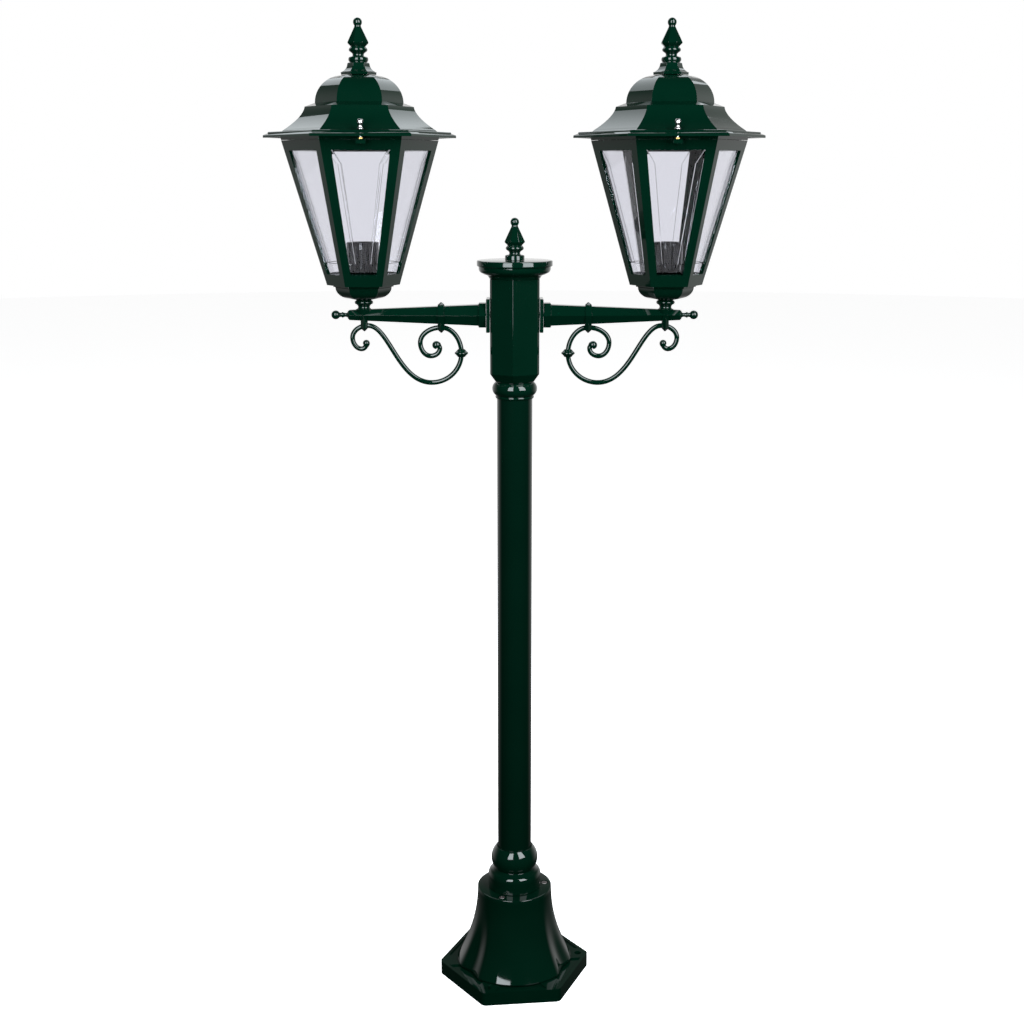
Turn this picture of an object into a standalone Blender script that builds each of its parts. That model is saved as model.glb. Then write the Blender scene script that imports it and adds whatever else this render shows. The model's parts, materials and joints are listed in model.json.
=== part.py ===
"""Twin-lantern garden post light: a turned steel post on a cast foot, with two hexagonal lanterns
carried on tapered arms and wrought scrolls.

Frame: origin at the centre of the foot's underside, +Z up the post, +X along the right-hand arm,
and the lanterns' front panes facing -Y.  Lengths below are in millimetres and become metres in mm().
"""

from math import cos, pi, radians, sin, tan

import bmesh
import bpy
from mathutils import Matrix, Vector

# ---------------------------------------------------------------------------------------------
# Driving dimensions, in millimetres
# ---------------------------------------------------------------------------------------------
GAP = 0.3                     # clearance between pieces that touch

# Foot
FOOT_TURN = 6.0               # the whole foot stands turned a little, in degrees
FLANGE_ACROSS = 210.4         # hexagonal flange, across its flats
FLANGE_THICK = 22.0
FLANGE_CORNER = 9.0           # corner rounding
BELL_TOP_Z = 152.0
BELL_TOP_R = 59.3
BELL_FOOT_R = 94.0
FLUTE_DEPTH = 0.085           # depth of a flute at the foot, as a share of the radius
FLUTE_ANGLES = (90.0, 210.0, 330.0)
FLUTE_HALF_WIDTH = 20.0       # degrees
BELL_SIDES = 36
SCREW_ANGLES = (FOOT_TURN, FOOT_TURN + 120.0, FOOT_TURN + 240.0)   # anchors and cap screws
ANCHOR_R = 104.6              # distance of the anchor bolts from the axis
ANCHOR_HOLE_R = 5.4
COLLAR_SCREW_R = 48.6

# Post
TUBE_R = 26.5
TUBE_WALL = 2.5
TUBE_BOTTOM_Z = 131.0
TUBE_TOP_Z = 984.0

# Hub
HUB_APOTHEM = 36.2
HUB_BOTTOM_Z = 971.8
HUB_TAPER_Z = 983.5           # below this the casing draws in to the collar
HUB_TOP_Z = 1122.0
HUB_CAP_Z = 1148.5
HUB_WALL = 5.0

# Arms and scrolls
ARM_Z = 1069.0
ARM_START_X = 42.4
ARM_END_X = 244.5
ARM_ROOT_R = 17.55            # corner radius of the hexagonal bar at the socket
ARM_TIP_R = 8.5
SOCKET_R = 20.5
SOCKET_LENGTH = 11.6
ARM_BORE_R = 4.6
ROD_R = 3.7
INNER_CLIP_X = 108.5
OUTER_CLIP_X = 222.0
CLIP_WIDTH = 9.4
PIN_HALF_WIDTH = 5.1          # pointed pins below the clips

# Lanterns
LANTERN_X = 222.0
LEFT_LANTERN_YAW = 6.0        # the left lantern is turned slightly on its stem, in degrees
CAGE_BOTTOM_Z = 1112.9
CAGE_TOP_Z = 1318.0
CAGE_BOTTOM_R = 53.2
CAGE_TOP_R = 112.5
CAGE_WALL = 5.0
WINDOW_BOTTOM_Z = 1129.4
WINDOW_TOP_Z = 1303.8
WINDOW_BOTTOM_HALF = 18.4
WINDOW_TOP_HALF = 40.4
PANE_THICK = 3.0
PANE_LAP = 4.0                # how far a pane laps behind the bars
EAVE_R = 138.0
EAVE_Z = 1321.7
DOME_TOP_Z = 1408.3
NIPPLE_R = 4.0
HINGE_Y = 123.0
HINGE_Z = 1313.4
HINGE_PIN_R = 1.8
SCREW_Y = -106.0
SCREW_HOLE_R = 3.0

COS30 = cos(pi / 6)


def mm(*lengths):
    """Millimetres to a vector (or one number) in metres."""
    if len(lengths) == 1:
        return lengths[0] * 0.001
    return Vector(length * 0.001 for length in lengths)


# ---------------------------------------------------------------------------------------------
# Scene, collections and materials
# ---------------------------------------------------------------------------------------------
for old_object in list(bpy.data.objects):
    bpy.data.objects.remove(old_object, do_unlink=True)

parts = bpy.data.collections.new("twin_lantern_post")
cutters = bpy.data.collections.new("cutters")
bpy.context.scene.collection.children.link(parts)
bpy.context.scene.collection.children.link(cutters)


def make_material(name, colour, roughness, metallic=0.0, transmission=0.0):
    material = bpy.data.materials.new(name)
    material.use_nodes = True
    shader = material.node_tree.nodes["Principled BSDF"]
    shader.inputs["Base Color"].default_value = (*colour, 1.0)
    shader.inputs["Roughness"].default_value = roughness
    shader.inputs["Metallic"].default_value = metallic
    shader.inputs["Transmission Weight"].default_value = transmission
    return material


FINISHES = {
    "green_paint": ((0.002, 0.028, 0.014), 0.18),
    "clear_glass": ((0.93, 0.93, 0.96), 0.02, 0.0, 1.0),
    "bright_steel": ((0.75, 0.75, 0.76), 0.2, 1.0),
    "phenolic": ((0.012, 0.012, 0.014), 0.15),
    "brass": ((0.72, 0.5, 0.2), 0.3, 1.0),
    "lead_sheath": ((0.6, 0.6, 0.58), 0.5),
    "terminal_plastic": ((0.7, 0.7, 0.66), 0.45),
}


# ---------------------------------------------------------------------------------------------
# Modelling helpers
# ---------------------------------------------------------------------------------------------
def add_object(name, mesh, finish, parent=None, turn=0.0):
    """Link a part; a finish of None makes it a cutter instead."""
    obj = bpy.data.objects.new(name, mesh)
    if finish is None:
        cutters.objects.link(obj)
        obj.hide_render = True
        obj.display_type = "WIRE"
    else:
        parts.objects.link(obj)
        obj.data.materials.append(make_material(name, *FINISHES[finish]))
    obj.parent = parent
    obj.rotation_euler.z = radians(turn)
    return obj


def add_empty(name, location, parent=None, turn=0.0):
    empty = bpy.data.objects.new(name, None)
    parts.objects.link(empty)
    empty.parent = parent
    empty.location = mm(*location)
    empty.rotation_euler.z = radians(turn)
    return empty


def mesh_from(bm, name):
    mesh = bpy.data.meshes.new(name)
    bm.to_mesh(mesh)
    bm.free()
    return mesh


def turned(name, profile, steps, finish, parent=None, along_x=False, smooth=True):
    """Revolve a profile of (radius, height) points, listed down its outer side.

    A profile that starts and ends on the axis makes a solid; any other is closed into a ring.
    Six steps make a hexagonal piece with corners at +X and -X.  along_x lays the axis along +X,
    with a hexagon's flats above and below.
    """
    start = pi / 6 if along_x else 0.0
    bm = bmesh.new()
    verts = [bm.verts.new(mm(r * cos(start), r * sin(start), h)) for r, h in profile]
    edges = [bm.edges.new(pair) for pair in zip(verts, verts[1:])]
    if profile[0][0] > 0.0 or profile[-1][0] > 0.0:
        edges.append(bm.edges.new((verts[-1], verts[0])))
    obj = add_object(name, mesh_from(bm, name), finish, parent)
    screw = obj.modifiers.new("turn", "SCREW")
    screw.axis = "Z"
    screw.angle = 2 * pi
    screw.steps = steps
    screw.render_steps = steps
    screw.use_merge_vertices = True
    screw.merge_threshold = 0.00001
    screw.use_smooth_shade = smooth
    if along_x:
        obj.rotation_euler = (0.0, pi / 2, 0.0)
        obj.location = mm(0.0, 0.0, ARM_Z)
    return obj


def arc(centre, radii, start, end, steps):
    """Points on an elliptical arc from one angle to another, in degrees."""
    angles = [radians(start + (end - start) * i / steps) for i in range(steps + 1)]
    return [(centre[0] + radii[0] * cos(a), centre[1] + radii[1] * sin(a)) for a in angles]


def rounded_hexagon(apothem, corner, steps):
    """Outline of a hexagon with corners at +X and -X; one step per corner gives a chamfer."""
    inner = (apothem - corner) / COS30
    outline = []
    for side in range(6):
        middle = Vector((inner, 0.0)) @ Matrix.Rotation(-radians(60 * side), 2)
        for i in range(steps + 1):
            angle = radians(60 * side - 30 + 60 * i / steps)
            outline.append((middle.x + corner * cos(angle), middle.y + corner * sin(angle)))
    return outline


def loft(name, sections, finish, parent=None, turn=0.0):
    """Skin a stack of outlines, given as (height, outline) from the bottom up, and cap it."""
    bm = bmesh.new()
    rings = []
    for height, outline in sections:
        rings.append([bm.verts.new(mm(x, y, height)) for x, y in outline])
    count = len(rings[0])
    for low, high in zip(rings, rings[1:]):
        for i in range(count):
            j = (i + 1) % count
            bm.faces.new((low[i], low[j], high[j], high[i]))
    bm.faces.new(reversed(rings[0]))
    bm.faces.new(rings[-1])
    return add_object(name, mesh_from(bm, name), finish, parent, turn)


def slab(name, outline, push, finish, parent=None, turn=0.0):
    """Thicken a flat outline of 3-D points by pushing a copy of it along a vector."""
    bm = bmesh.new()
    face = bm.faces.new([bm.verts.new(mm(*point)) for point in outline])
    pushed = bmesh.ops.extrude_face_region(bm, geom=[face])["geom"]
    moved = [item for item in pushed if isinstance(item, bmesh.types.BMVert)]
    bmesh.ops.translate(bm, verts=moved, vec=mm(*push))
    bmesh.ops.recalc_face_normals(bm, faces=bm.faces)
    return add_object(name, mesh_from(bm, name), finish, parent, turn)


def cylinders(name, spots, radius, low, high, parent=None, finish=None, sides=12):
    """Upright cylinders at several (x, y) spots, in one mesh."""
    bm = bmesh.new()
    for x, y in spots:
        place = Matrix.Translation(mm(x, y, (low + high) / 2))
        bmesh.ops.create_cone(bm, cap_ends=True, segments=sides, radius1=mm(radius),
                              radius2=mm(radius), depth=mm(high - low), matrix=place)
    return add_object(name, mesh_from(bm, name), finish, parent)


def box(name, low, high, parent=None, finish=None):
    bm = bmesh.new()
    size = mm(*high) - mm(*low)
    place = Matrix.Translation((mm(*high) + mm(*low)) / 2) @ Matrix.Diagonal((*size, 1.0))
    bmesh.ops.create_cube(bm, size=1.0, matrix=place)
    return add_object(name, mesh_from(bm, name), finish, parent)


def bar_x(name, centre_y, centre_z, radius, low, high, parent=None, finish=None, sides=12):
    """A cylinder along X."""
    bm = bmesh.new()
    place = Matrix.Translation(mm((low + high) / 2, centre_y, centre_z))
    bmesh.ops.create_cone(bm, cap_ends=True, segments=sides, radius1=mm(radius), radius2=mm(radius),
                          depth=mm(high - low), matrix=place @ Matrix.Rotation(pi / 2, 4, "Y"))
    return add_object(name, mesh_from(bm, name), finish, parent)


def boolean(obj, other, operation):
    modifier = obj.modifiers.new(operation.lower(), "BOOLEAN")
    modifier.operation = operation
    modifier.solver = "EXACT"
    modifier.object = other


def rod_mesh(name, points, radius, finish, parent=None, smoothness=2):
    """A round rod along (x, z) points in the plane of the arm, as a closed mesh."""
    curve = bpy.data.curves.new(name, "CURVE")
    curve.dimensions = "3D"
    curve.bevel_depth = mm(radius)
    curve.bevel_resolution = smoothness
    curve.use_fill_caps = True
    spline = curve.splines.new("POLY")
    spline.points.add(len(points) - 1)
    for spline_point, (x, z) in zip(spline.points, points):
        spline_point.co = (*mm(x, 0.0, z), 1.0)
    guide = bpy.data.objects.new(name + "_curve", curve)
    cutters.objects.link(guide)
    graph = bpy.context.evaluated_depsgraph_get()
    mesh = bpy.data.meshes.new_from_object(guide.evaluated_get(graph))
    bm = bmesh.new()
    bm.from_mesh(mesh)
    bmesh.ops.remove_doubles(bm, verts=bm.verts, dist=0.00001)
    bm.to_mesh(mesh)
    bm.free()
    mesh.name = name
    mesh.materials.clear()
    obj = add_object(name, mesh, finish, parent)
    obj.matrix_basis = guide.matrix_world.copy()
    bpy.data.objects.remove(guide)
    if finish is not None:
        mesh.shade_smooth()
    return obj


def polar(radius, angle):
    return (radius * cos(radians(angle)), radius * sin(radians(angle)))


# ---------------------------------------------------------------------------------------------
# Foot: cast flange and bell, collar, cap screws
# ---------------------------------------------------------------------------------------------
def bell_radius(z):
    """Plain radius of the bell: straight at the top, flaring towards the foot."""
    fall = (BELL_TOP_Z - z) / (BELL_TOP_Z - FLANGE_THICK)
    return BELL_TOP_R + (BELL_FOOT_R - BELL_TOP_R) * max(fall, 0.0) ** 2.1


def bell_outline(z, count=BELL_SIDES):
    """Outline of the bell at one height, with three soft flutes that fade out at the top."""
    fade = min(1.0, max(0.0, (BELL_TOP_Z - 14.0 - z) / 90.0))
    outline = []
    for i in range(count):
        angle = 360.0 * i / count
        away = min(abs((angle - flute + 180.0) % 360.0 - 180.0) for flute in FLUTE_ANGLES)
        dip = cos(min(away / FLUTE_HALF_WIDTH, 1.0) * pi / 2) ** 2
        outline.append(polar(bell_radius(z) * (1.0 - FLUTE_DEPTH * fade * dip), angle))
    return outline


def build_foot():
    apothem = FLANGE_ACROSS / 2
    lip = rounded_hexagon(apothem, FLANGE_CORNER, 3)
    eased = rounded_hexagon(apothem - 1.2, FLANGE_CORNER, 3)
    casting = loft("base_casting",
                   [(0.0, lip), (FLANGE_THICK - 1.2, lip), (FLANGE_THICK, eased)], "green_paint",
                   turn=FOOT_TURN)

    # Shallow troughs along the six sides leave raised pads at the corners.
    trough_in, trough_out, pad_half = 80.0, apothem - 5.0, 15.0
    for side in range(6):
        ends = [(trough_out, 1), (trough_out, -1), (trough_in, -1), (trough_in, 1)]
        outline = []
        for radial, sign in ends:
            along = sign * (radial * tan(pi / 6) - pad_half / COS30)
            outline.append((radial, along, FLANGE_THICK - 2.5))
        trough = slab("flange_trough_%d" % (side + 1), outline, (0.0, 0.0, 10.0), None,
                      turn=FOOT_TURN + 60 * side + 30)
        boolean(casting, trough, "DIFFERENCE")

    heights = [FLANGE_THICK - 6.0, FLANGE_THICK + 2.0, 34.0, 48.0, 66.0, 90.0, 118.0, 138.0,
               BELL_TOP_Z - 1.0]
    sections = [(z, bell_outline(z)) for z in heights]
    rim = [polar(BELL_TOP_R - 1.0, 360 * i / BELL_SIDES) for i in range(BELL_SIDES)]
    sections.append((BELL_TOP_Z, rim))
    boolean(casting, loft("bell_form", sections, None, turn=FOOT_TURN), "UNION")

    # Hollow underside: the bell's inside, and a relief under the flange.
    wall = 6.0
    inside = [(bell_radius(z) * (1.0 - FLUTE_DEPTH) - wall, z) for z in (80.0, 55.0, 34.0)]
    hollow = [(0.0, 139.0), (53.6, 139.0), (53.6, 108.0)] + inside + [(80.0, -1.0), (0.0, -1.0)]
    boolean(casting, turned("bell_hollow", hollow, 24, None), "DIFFERENCE")
    relief = loft("flange_relief", [(-1.0, rounded_hexagon(apothem - 8.0, 6.0, 1)),
                                    (12.0, rounded_hexagon(apothem - 9.0, 6.0, 1))], None,
                  turn=FOOT_TURN)
    anchors = [polar(ANCHOR_R, angle) for angle in SCREW_ANGLES]
    boolean(relief, cylinders("anchor_bosses", anchors, 11.0, -3.0, 15.0), "DIFFERENCE")
    boolean(casting, relief, "DIFFERENCE")

    spots = [polar(COLLAR_SCREW_R, angle) for angle in SCREW_ANGLES]
    passage = TUBE_R + 2 * GAP
    boolean(casting, cylinders("anchor_holes", anchors, ANCHOR_HOLE_R, -5.0, 40.0), "DIFFERENCE")
    boolean(casting, cylinders("screw_holes", spots, 2.9, 130.0, 160.0), "DIFFERENCE")
    boolean(casting, cylinders("counterbores", spots, 6.0, BELL_TOP_Z - 4.5, 160.0, sides=16),
            "DIFFERENCE")
    boolean(casting, cylinders("tube_passage", [(0, 0)], passage, 130.0, 160.0, sides=32),
            "DIFFERENCE")

    # A flange on the tube's lower end, inside the bell, takes the three cap screws from above.
    plate = turned("tube_flange", [(53.0, 138.6), (53.0, 131.6), (passage, 131.6),
                                   (passage, 138.6)], 24, "green_paint")
    boolean(plate, cylinders("plate_holes", spots, 2.9, 125.0, 145.0), "DIFFERENCE")

    for number, (x, y) in enumerate(spots, 1):
        top = BELL_TOP_Z - 0.1
        seat = BELL_TOP_Z - 4.5 + GAP
        head = [(0.0, top - 2.2), (2.4, top - 2.2), (2.4, top), (4.2, top), (4.7, top - 0.5),
                (4.7, seat), (2.5, seat), (2.5, 128.0), (0.0, 128.0)]
        screw = turned("collar_screw_%d" % number, head, 12, "bright_steel")
        screw.location = mm(x, y, 0.0)

    base = BELL_TOP_Z + GAP
    ring = arc((8.9, 200.7), (28.1, 28.1), 46, -33, 6)
    ring += [(33.6, 184.0), (37.6, 180.8), (40.4, 177.6), (42.1, 171.0), (42.1, base),
             (passage, base), (passage, ring[0][1])]
    turned("base_collar", ring, 24, "green_paint")


# ---------------------------------------------------------------------------------------------
# Post tube, and the hub that carries the arms
# ---------------------------------------------------------------------------------------------
def build_post():
    inner = TUBE_R - TUBE_WALL
    turned("post_tube", [(TUBE_R, TUBE_TOP_Z), (TUBE_R, TUBE_BOTTOM_Z), (inner, TUBE_BOTTOM_Z),
                         (inner, TUBE_TOP_Z)], 32, "green_paint")

    bore = TUBE_R + GAP
    collar = arc((22.5, 960.0), (11.1, 11.6), 60, -60, 6)
    collar += [(28.8, 949.0), (28.8, 946.4), (27.6, 945.4), (bore, 945.4), (bore, collar[0][1])]
    turned("hub_collar", collar, 24, "green_paint")


def build_hub():
    def outline(scale=1.0):
        return [(x * scale, y * scale) for x, y in rounded_hexagon(HUB_APOTHEM, 5.6, 1)]

    # The casing's flats face the arms, so a chamfered corner looks forward.
    casing = loft("hub_casing", [(HUB_BOTTOM_Z, outline(0.78)), (HUB_TAPER_Z, outline()),
                                 (HUB_TOP_Z, outline())], "green_paint", turn=30)
    room = rounded_hexagon(HUB_APOTHEM - HUB_WALL, 1.0, 1)
    boolean(casing, loft("hub_room", [(985.0, room), (HUB_TOP_Z + 5.0, room)], None, turn=30),
            "DIFFERENCE")
    boolean(casing, cylinders("hub_tube_hole", [(0, 0)], TUBE_R + GAP, 960.0, 990.0, sides=32),
            "DIFFERENCE")
    boolean(casing, bar_x("hub_lead_holes", 0.0, ARM_Z, 5.0, -50.0, 50.0), "DIFFERENCE")

    seat = HUB_TOP_Z + GAP
    cap = [(0.0, HUB_CAP_Z), (54.2, HUB_CAP_Z), (55.6, 1147.1), (55.6, 1140.8), (53.2, 1139.4)]
    cap += [(52.8, 1135.2), (48.6, 1130.4), (46.6, 1129.0), (41.4, 1127.2), (38.2, 1124.6)]
    cap += [(37.0, seat), (30.6, seat), (30.6, 1117.0), (27.0, 1117.0), (27.0, 1139.0),
            (0.0, 1139.0)]
    turned("hub_cap", cap, 24, "green_paint")
    build_finial("hub_finial", HUB_CAP_Z + GAP, None)

    block = box("terminal_block", (-14.0, -8.0, 1117.0), (14.0, 8.0, 1139.0 - GAP), None,
                "terminal_plastic")
    clamps = [(x, y) for x in (-9.0, 0.0, 9.0) for y in (-3.5, 3.5)]
    boolean(block, cylinders("clamp_holes", clamps, 1.8, 1110.0, 1128.0, sides=8), "DIFFERENCE")


def build_finial(name, base_z, parent, brim=None):
    """Spear finial: a drum, a waist, a ring, a tall cone and a ball at the tip.

    The lantern's finial stands on a flared brim; the hub's stands on its plain drum.
    """
    ring_z = base_z + (34.0 if brim else 17.0)
    spear = arc((0.0, ring_z + 37.4), (6.4, 6.4), 90, -38, 5)
    spear[0] = (0.0, spear[0][1])
    spear += [(4.9, ring_z + 31.4), (15.2, ring_z + 9.0), (10.3, ring_z + 4.6), (13.3, ring_z),
              (8.5, ring_z - 5.6), (9.0, ring_z - 9.0), (14.3, ring_z - 10.4)]
    if brim:
        spear += [(14.3, ring_z - 16.0), (12.8, ring_z - 16.8), (15.4, ring_z - 18.6),
                  (17.4, ring_z - 24.0), (20.1, ring_z - 28.4), (brim - 1.4, ring_z - 31.4),
                  (brim, base_z)]
    else:
        spear += [(14.3, base_z)]
    turned(name, spear + [(0.0, base_z)], 12, "green_paint", parent)


# ---------------------------------------------------------------------------------------------
# Arms: one hexagonal bar a side, its mounting plate, clips and scroll
# ---------------------------------------------------------------------------------------------
def arm_radius(x):
    """Corner radius of the tapered arm at a distance from the post."""
    root = ARM_START_X + SOCKET_LENGTH
    return ARM_ROOT_R + (ARM_TIP_R - ARM_ROOT_R) * (x - root) / (ARM_END_X - root)


def quarter(start, end, leaves_flat, steps):
    """Quarter of an ellipse between two points, leaving the first one flat or upright."""
    points = []
    for i in range(1, steps + 1):
        swing = pi / 2 * i / steps
        first, second = (sin(swing), 1.0 - cos(swing))
        across, up = (first, second) if leaves_flat else (second, first)
        points.append((start[0] + (end[0] - start[0]) * across,
                       start[1] + (end[1] - start[1]) * up))
    return points


def scroll_route():
    """Centre line of the scroll: an inner volute, a deep bow, an S and an outer volute."""
    route = [(116.2, 1024.4)]
    turns = [((111.0, 1019.8), True, 3), ((124.5, 1008.2), False, 4), ((139.9, 1028.0), True, 4),
             ((108.5, 1050.4), False, 5), ((79.0, 1012.5), True, 5), ((123.5, 968.6), False, 6)]
    for point, leaves_flat, steps in turns:
        route += quarter(route[-1], point, leaves_flat, steps)
    bow, crest = Vector(route[-1]), Vector((216.5, 1053.2))
    handles = (bow, bow + Vector((50.0, 0.0)), crest - Vector((31.0, 0.0)), crest)
    for i in range(1, 10):
        t = i / 9
        weights = ((1 - t) ** 3, 3 * t * (1 - t) ** 2, 3 * t * t * (1 - t), t ** 3)
        point = sum((handle * weight for handle, weight in zip(handles, weights)), Vector((0, 0)))
        route.append((point.x, point.y))
    for point, leaves_flat, steps in [((240.0, 1035.5), True, 5), ((227.0, 1018.8), False, 4),
                                      ((219.8, 1027.0), True, 3)]:
        route += quarter(route[-1], point, leaves_flat, steps)
    return route


def build_clip(name, x, parent, over_top, drop):
    """Strap round the arm with a pointed pin below it, through which the scroll passes."""
    half = CLIP_WIDTH / 2
    skin, play = 1.6, 0.4
    near, far = arm_radius(x - half) + play, arm_radius(x + half) + play
    band = [(far + skin, x + half), (near + skin, x - half), (near, x - half), (far, x + half)]
    clip = turned(name, band, 6, "green_paint", parent, along_x=True, smooth=False)
    top = ARM_Z + arm_radius(x) * COS30

    def pin_outline(scale=1.0):
        """A long hexagon with one corner to the front and one to the back."""
        side_x, side_y, corner_y = PIN_HALF_WIDTH * scale, 4.6 * scale, 10.5 * scale
        return [(x - side_x, -side_y), (x, -corner_y), (x + side_x, -side_y),
                (x + side_x, side_y), (x, corner_y), (x - side_x, side_y)]

    if over_top:
        gable = loft(name + "_gable", [(top + 0.6, pin_outline(0.9)), (top + 2.2, pin_outline(0.9)),
                                       (top + 5.7, pin_outline(0.1))], None, parent)
        boolean(clip, gable, "UNION")
    else:
        open_top = box(name + "_open_top", (x - 20, -30, ARM_Z - 0.6), (x + 20, 30, ARM_Z + 30),
                       parent)
        boolean(clip, open_top, "DIFFERENCE")
    pin = loft(name + "_pin", [(drop, pin_outline(0.15)), (drop + 4.6, pin_outline()),
                               (ARM_Z - 3.0, pin_outline())], None, parent)
    boolean(clip, pin, "UNION")
    reach = half + 5.0
    channel = turned(name + "_channel",
                     [(0.0, x + reach), (arm_radius(x + reach) + play, x + reach),
                      (arm_radius(x - reach) + play, x - reach), (0.0, x - reach)], 6, None, parent,
                     along_x=True)
    boolean(clip, channel, "DIFFERENCE")
    return clip


def build_arm(side, turn):
    """Everything that reaches out from the hub on one side; the left side is turned half round."""
    empty = add_empty(side + "_arm_axis", (0.0, 0.0, 0.0), turn=turn)

    plate = box(side + "_arm_plate", (HUB_APOTHEM + GAP, -20.0, ARM_Z - 24.5),
                (ARM_START_X - GAP, 20.0, ARM_Z + 24.5), empty, "green_paint")
    boolean(plate, bar_x(side + "_plate_hole", 0.0, ARM_Z, 5.0, 30.0, 50.0, empty), "DIFFERENCE")
    bevel = plate.modifiers.new("eased edges", "BEVEL")
    bevel.width = mm(0.8)
    bevel.segments = 1
    bevel.limit_method = "ANGLE"
    bevel.angle_limit = radians(60)

    socket_end = ARM_START_X + SOCKET_LENGTH
    bar = [(0.0, ARM_END_X), (ARM_TIP_R - 1.0, ARM_END_X), (ARM_TIP_R, ARM_END_X - 1.0),
           (ARM_ROOT_R, socket_end), (SOCKET_R, socket_end - 1.5), (SOCKET_R, ARM_START_X),
           (ARM_BORE_R, ARM_START_X), (ARM_BORE_R, LANTERN_X + 4.5), (0.0, LANTERN_X + 4.5)]
    arm = turned(side + "_arm", bar, 6, "green_paint", empty, along_x=True, smooth=False)
    boolean(arm, cylinders(side + "_nipple_hole", [(LANTERN_X, 0)], NIPPLE_R + GAP, ARM_Z,
                           ARM_Z + 20.0, empty), "DIFFERENCE")

    knob = arc((0.0, 264.0), (6.5, 6.5), 90, -52, 6)
    knob[0] = (0.0, knob[0][1])
    knob += [(3.1, 257.0), (4.0, 254.6), (2.9, 251.6), (5.9, 246.4), (6.4, ARM_END_X + GAP),
             (0.0, ARM_END_X + GAP)]
    turned(side + "_arm_knob", knob, 12, "green_paint", empty, along_x=True)

    route = scroll_route()
    scroll = rod_mesh(side + "_scroll", route, ROD_R, "green_paint", empty)
    for label, (x, z), radius in (("inner", route[0], 6.2), ("outer", route[-1], 5.4)):
        ball = turned("%s_scroll_%s_ball" % (side, label),
                      [(0.0, radius)] + arc((0.0, 0.0), (radius, radius), 90, -90, 6)[1:-1]
                      + [(0.0, -radius)], 8, None, empty)
        ball.location = mm(x, 0.0, z)
        boolean(scroll, ball, "UNION")

    clearance = rod_mesh(side + "_rod_clearance", route, ROD_R + 0.45, None, empty)
    for label, x, over_top, drop in (("inner", INNER_CLIP_X, True, 1042.6),
                                     ("outer", OUTER_CLIP_X, False, 1044.9)):
        clip = build_clip("%s_%s_clip" % (side, label), x, empty, over_top, drop)
        boolean(clip, clearance, "DIFFERENCE")

    bead = [(5.4, 5.6), (10.1, 0.7), (10.1, -0.7), (5.4, -5.6), (4.7, -5.6), (4.7, 5.6)]
    bead_ring = turned(side + "_scroll_bead", bead, 12, "green_paint", empty)
    bead_ring.location = mm(79.1, 0.0, 1012.5)
    return empty


# ---------------------------------------------------------------------------------------------
# Lanterns
# ---------------------------------------------------------------------------------------------
LEAN = (CAGE_TOP_R - CAGE_BOTTOM_R) * COS30 / (CAGE_TOP_Z - CAGE_BOTTOM_Z)


def pane_point(half_width, z, depth):
    """A point on the front face of the cage, a depth in from its outer surface."""
    length = (1.0 + LEAN * LEAN) ** 0.5
    face_y = -(CAGE_BOTTOM_R * COS30 + LEAN * (z - CAGE_BOTTOM_Z))
    return (half_width, face_y + depth / length, z + depth * LEAN / length)


def pane_outline(depth, lap, rise):
    """Trapezoid of a window, lapping its sides and its ends by a margin."""
    slope = (WINDOW_TOP_HALF - WINDOW_BOTTOM_HALF) / (WINDOW_TOP_Z - WINDOW_BOTTOM_Z)
    low, high = WINDOW_BOTTOM_Z - rise, WINDOW_TOP_Z + rise
    low_half = WINDOW_BOTTOM_HALF - slope * rise + lap
    high_half = WINDOW_TOP_HALF + slope * rise + lap
    return [pane_point(-low_half, low, depth), pane_point(low_half, low, depth),
            pane_point(high_half, high, depth), pane_point(-high_half, high, depth)]


def inward(distance):
    """Push vector from the front face towards the lantern's middle."""
    length = (1.0 + LEAN * LEAN) ** 0.5
    return (0.0, distance / length, distance * LEAN / length)


def build_cage(side, axis):
    wall_r = CAGE_WALL / COS30 * (1.0 + LEAN * LEAN) ** 0.5
    shell = [(CAGE_TOP_R, CAGE_TOP_Z), (CAGE_BOTTOM_R, CAGE_BOTTOM_Z), (8.0, CAGE_BOTTOM_Z),
             (8.0, CAGE_BOTTOM_Z + 3.0), (CAGE_BOTTOM_R + 0.9 - wall_r, CAGE_BOTTOM_Z + 3.0),
             (CAGE_TOP_R - wall_r, CAGE_TOP_Z)]
    cage = turned(side + "_lantern_frame", shell, 6, "green_paint", axis, smooth=False)
    for k in range(6):
        window = slab("%s_window_%d" % (side, k + 1), pane_outline(-2.0, 0.0, 0.0), inward(12.0),
                      None, axis, turn=60 * k)
        boolean(cage, window, "DIFFERENCE")

    back = CAGE_TOP_R * COS30 - 3.0
    for label, low, high in (("left", -12.0, -7.3), ("right", 7.3, 12.0)):
        arm = box("%s_%s_ear" % (side, label), (low, back, HINGE_Z - 4.2),
                  (high, HINGE_Y, HINGE_Z + 4.2), axis)
        boolean(cage, arm, "UNION")
        eye = bar_x("%s_%s_eye" % (side, label), HINGE_Y, HINGE_Z, 4.2, low, high, axis)
        boolean(cage, eye, "UNION")
    lug = box(side + "_screw_lug", (-6.5, SCREW_Y - 6.5, CAGE_TOP_Z - 6.0),
              (6.5, -back, CAGE_TOP_Z - 0.2), axis)
    boolean(cage, lug, "UNION")
    boolean(cage, cylinders(side + "_lug_hole", [(0, SCREW_Y)], SCREW_HOLE_R, 1300.0, 1330.0, axis),
            "DIFFERENCE")
    boolean(cage, bar_x(side + "_ear_bore", HINGE_Y, HINGE_Z, HINGE_PIN_R + GAP, -20.0, 20.0, axis),
            "DIFFERENCE")

    for k in range(6):
        slab("%s_pane_%d" % (side, k + 1), pane_outline(CAGE_WALL + GAP, PANE_LAP, PANE_LAP),
             inward(PANE_THICK), "clear_glass", axis, turn=60 * k)


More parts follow.
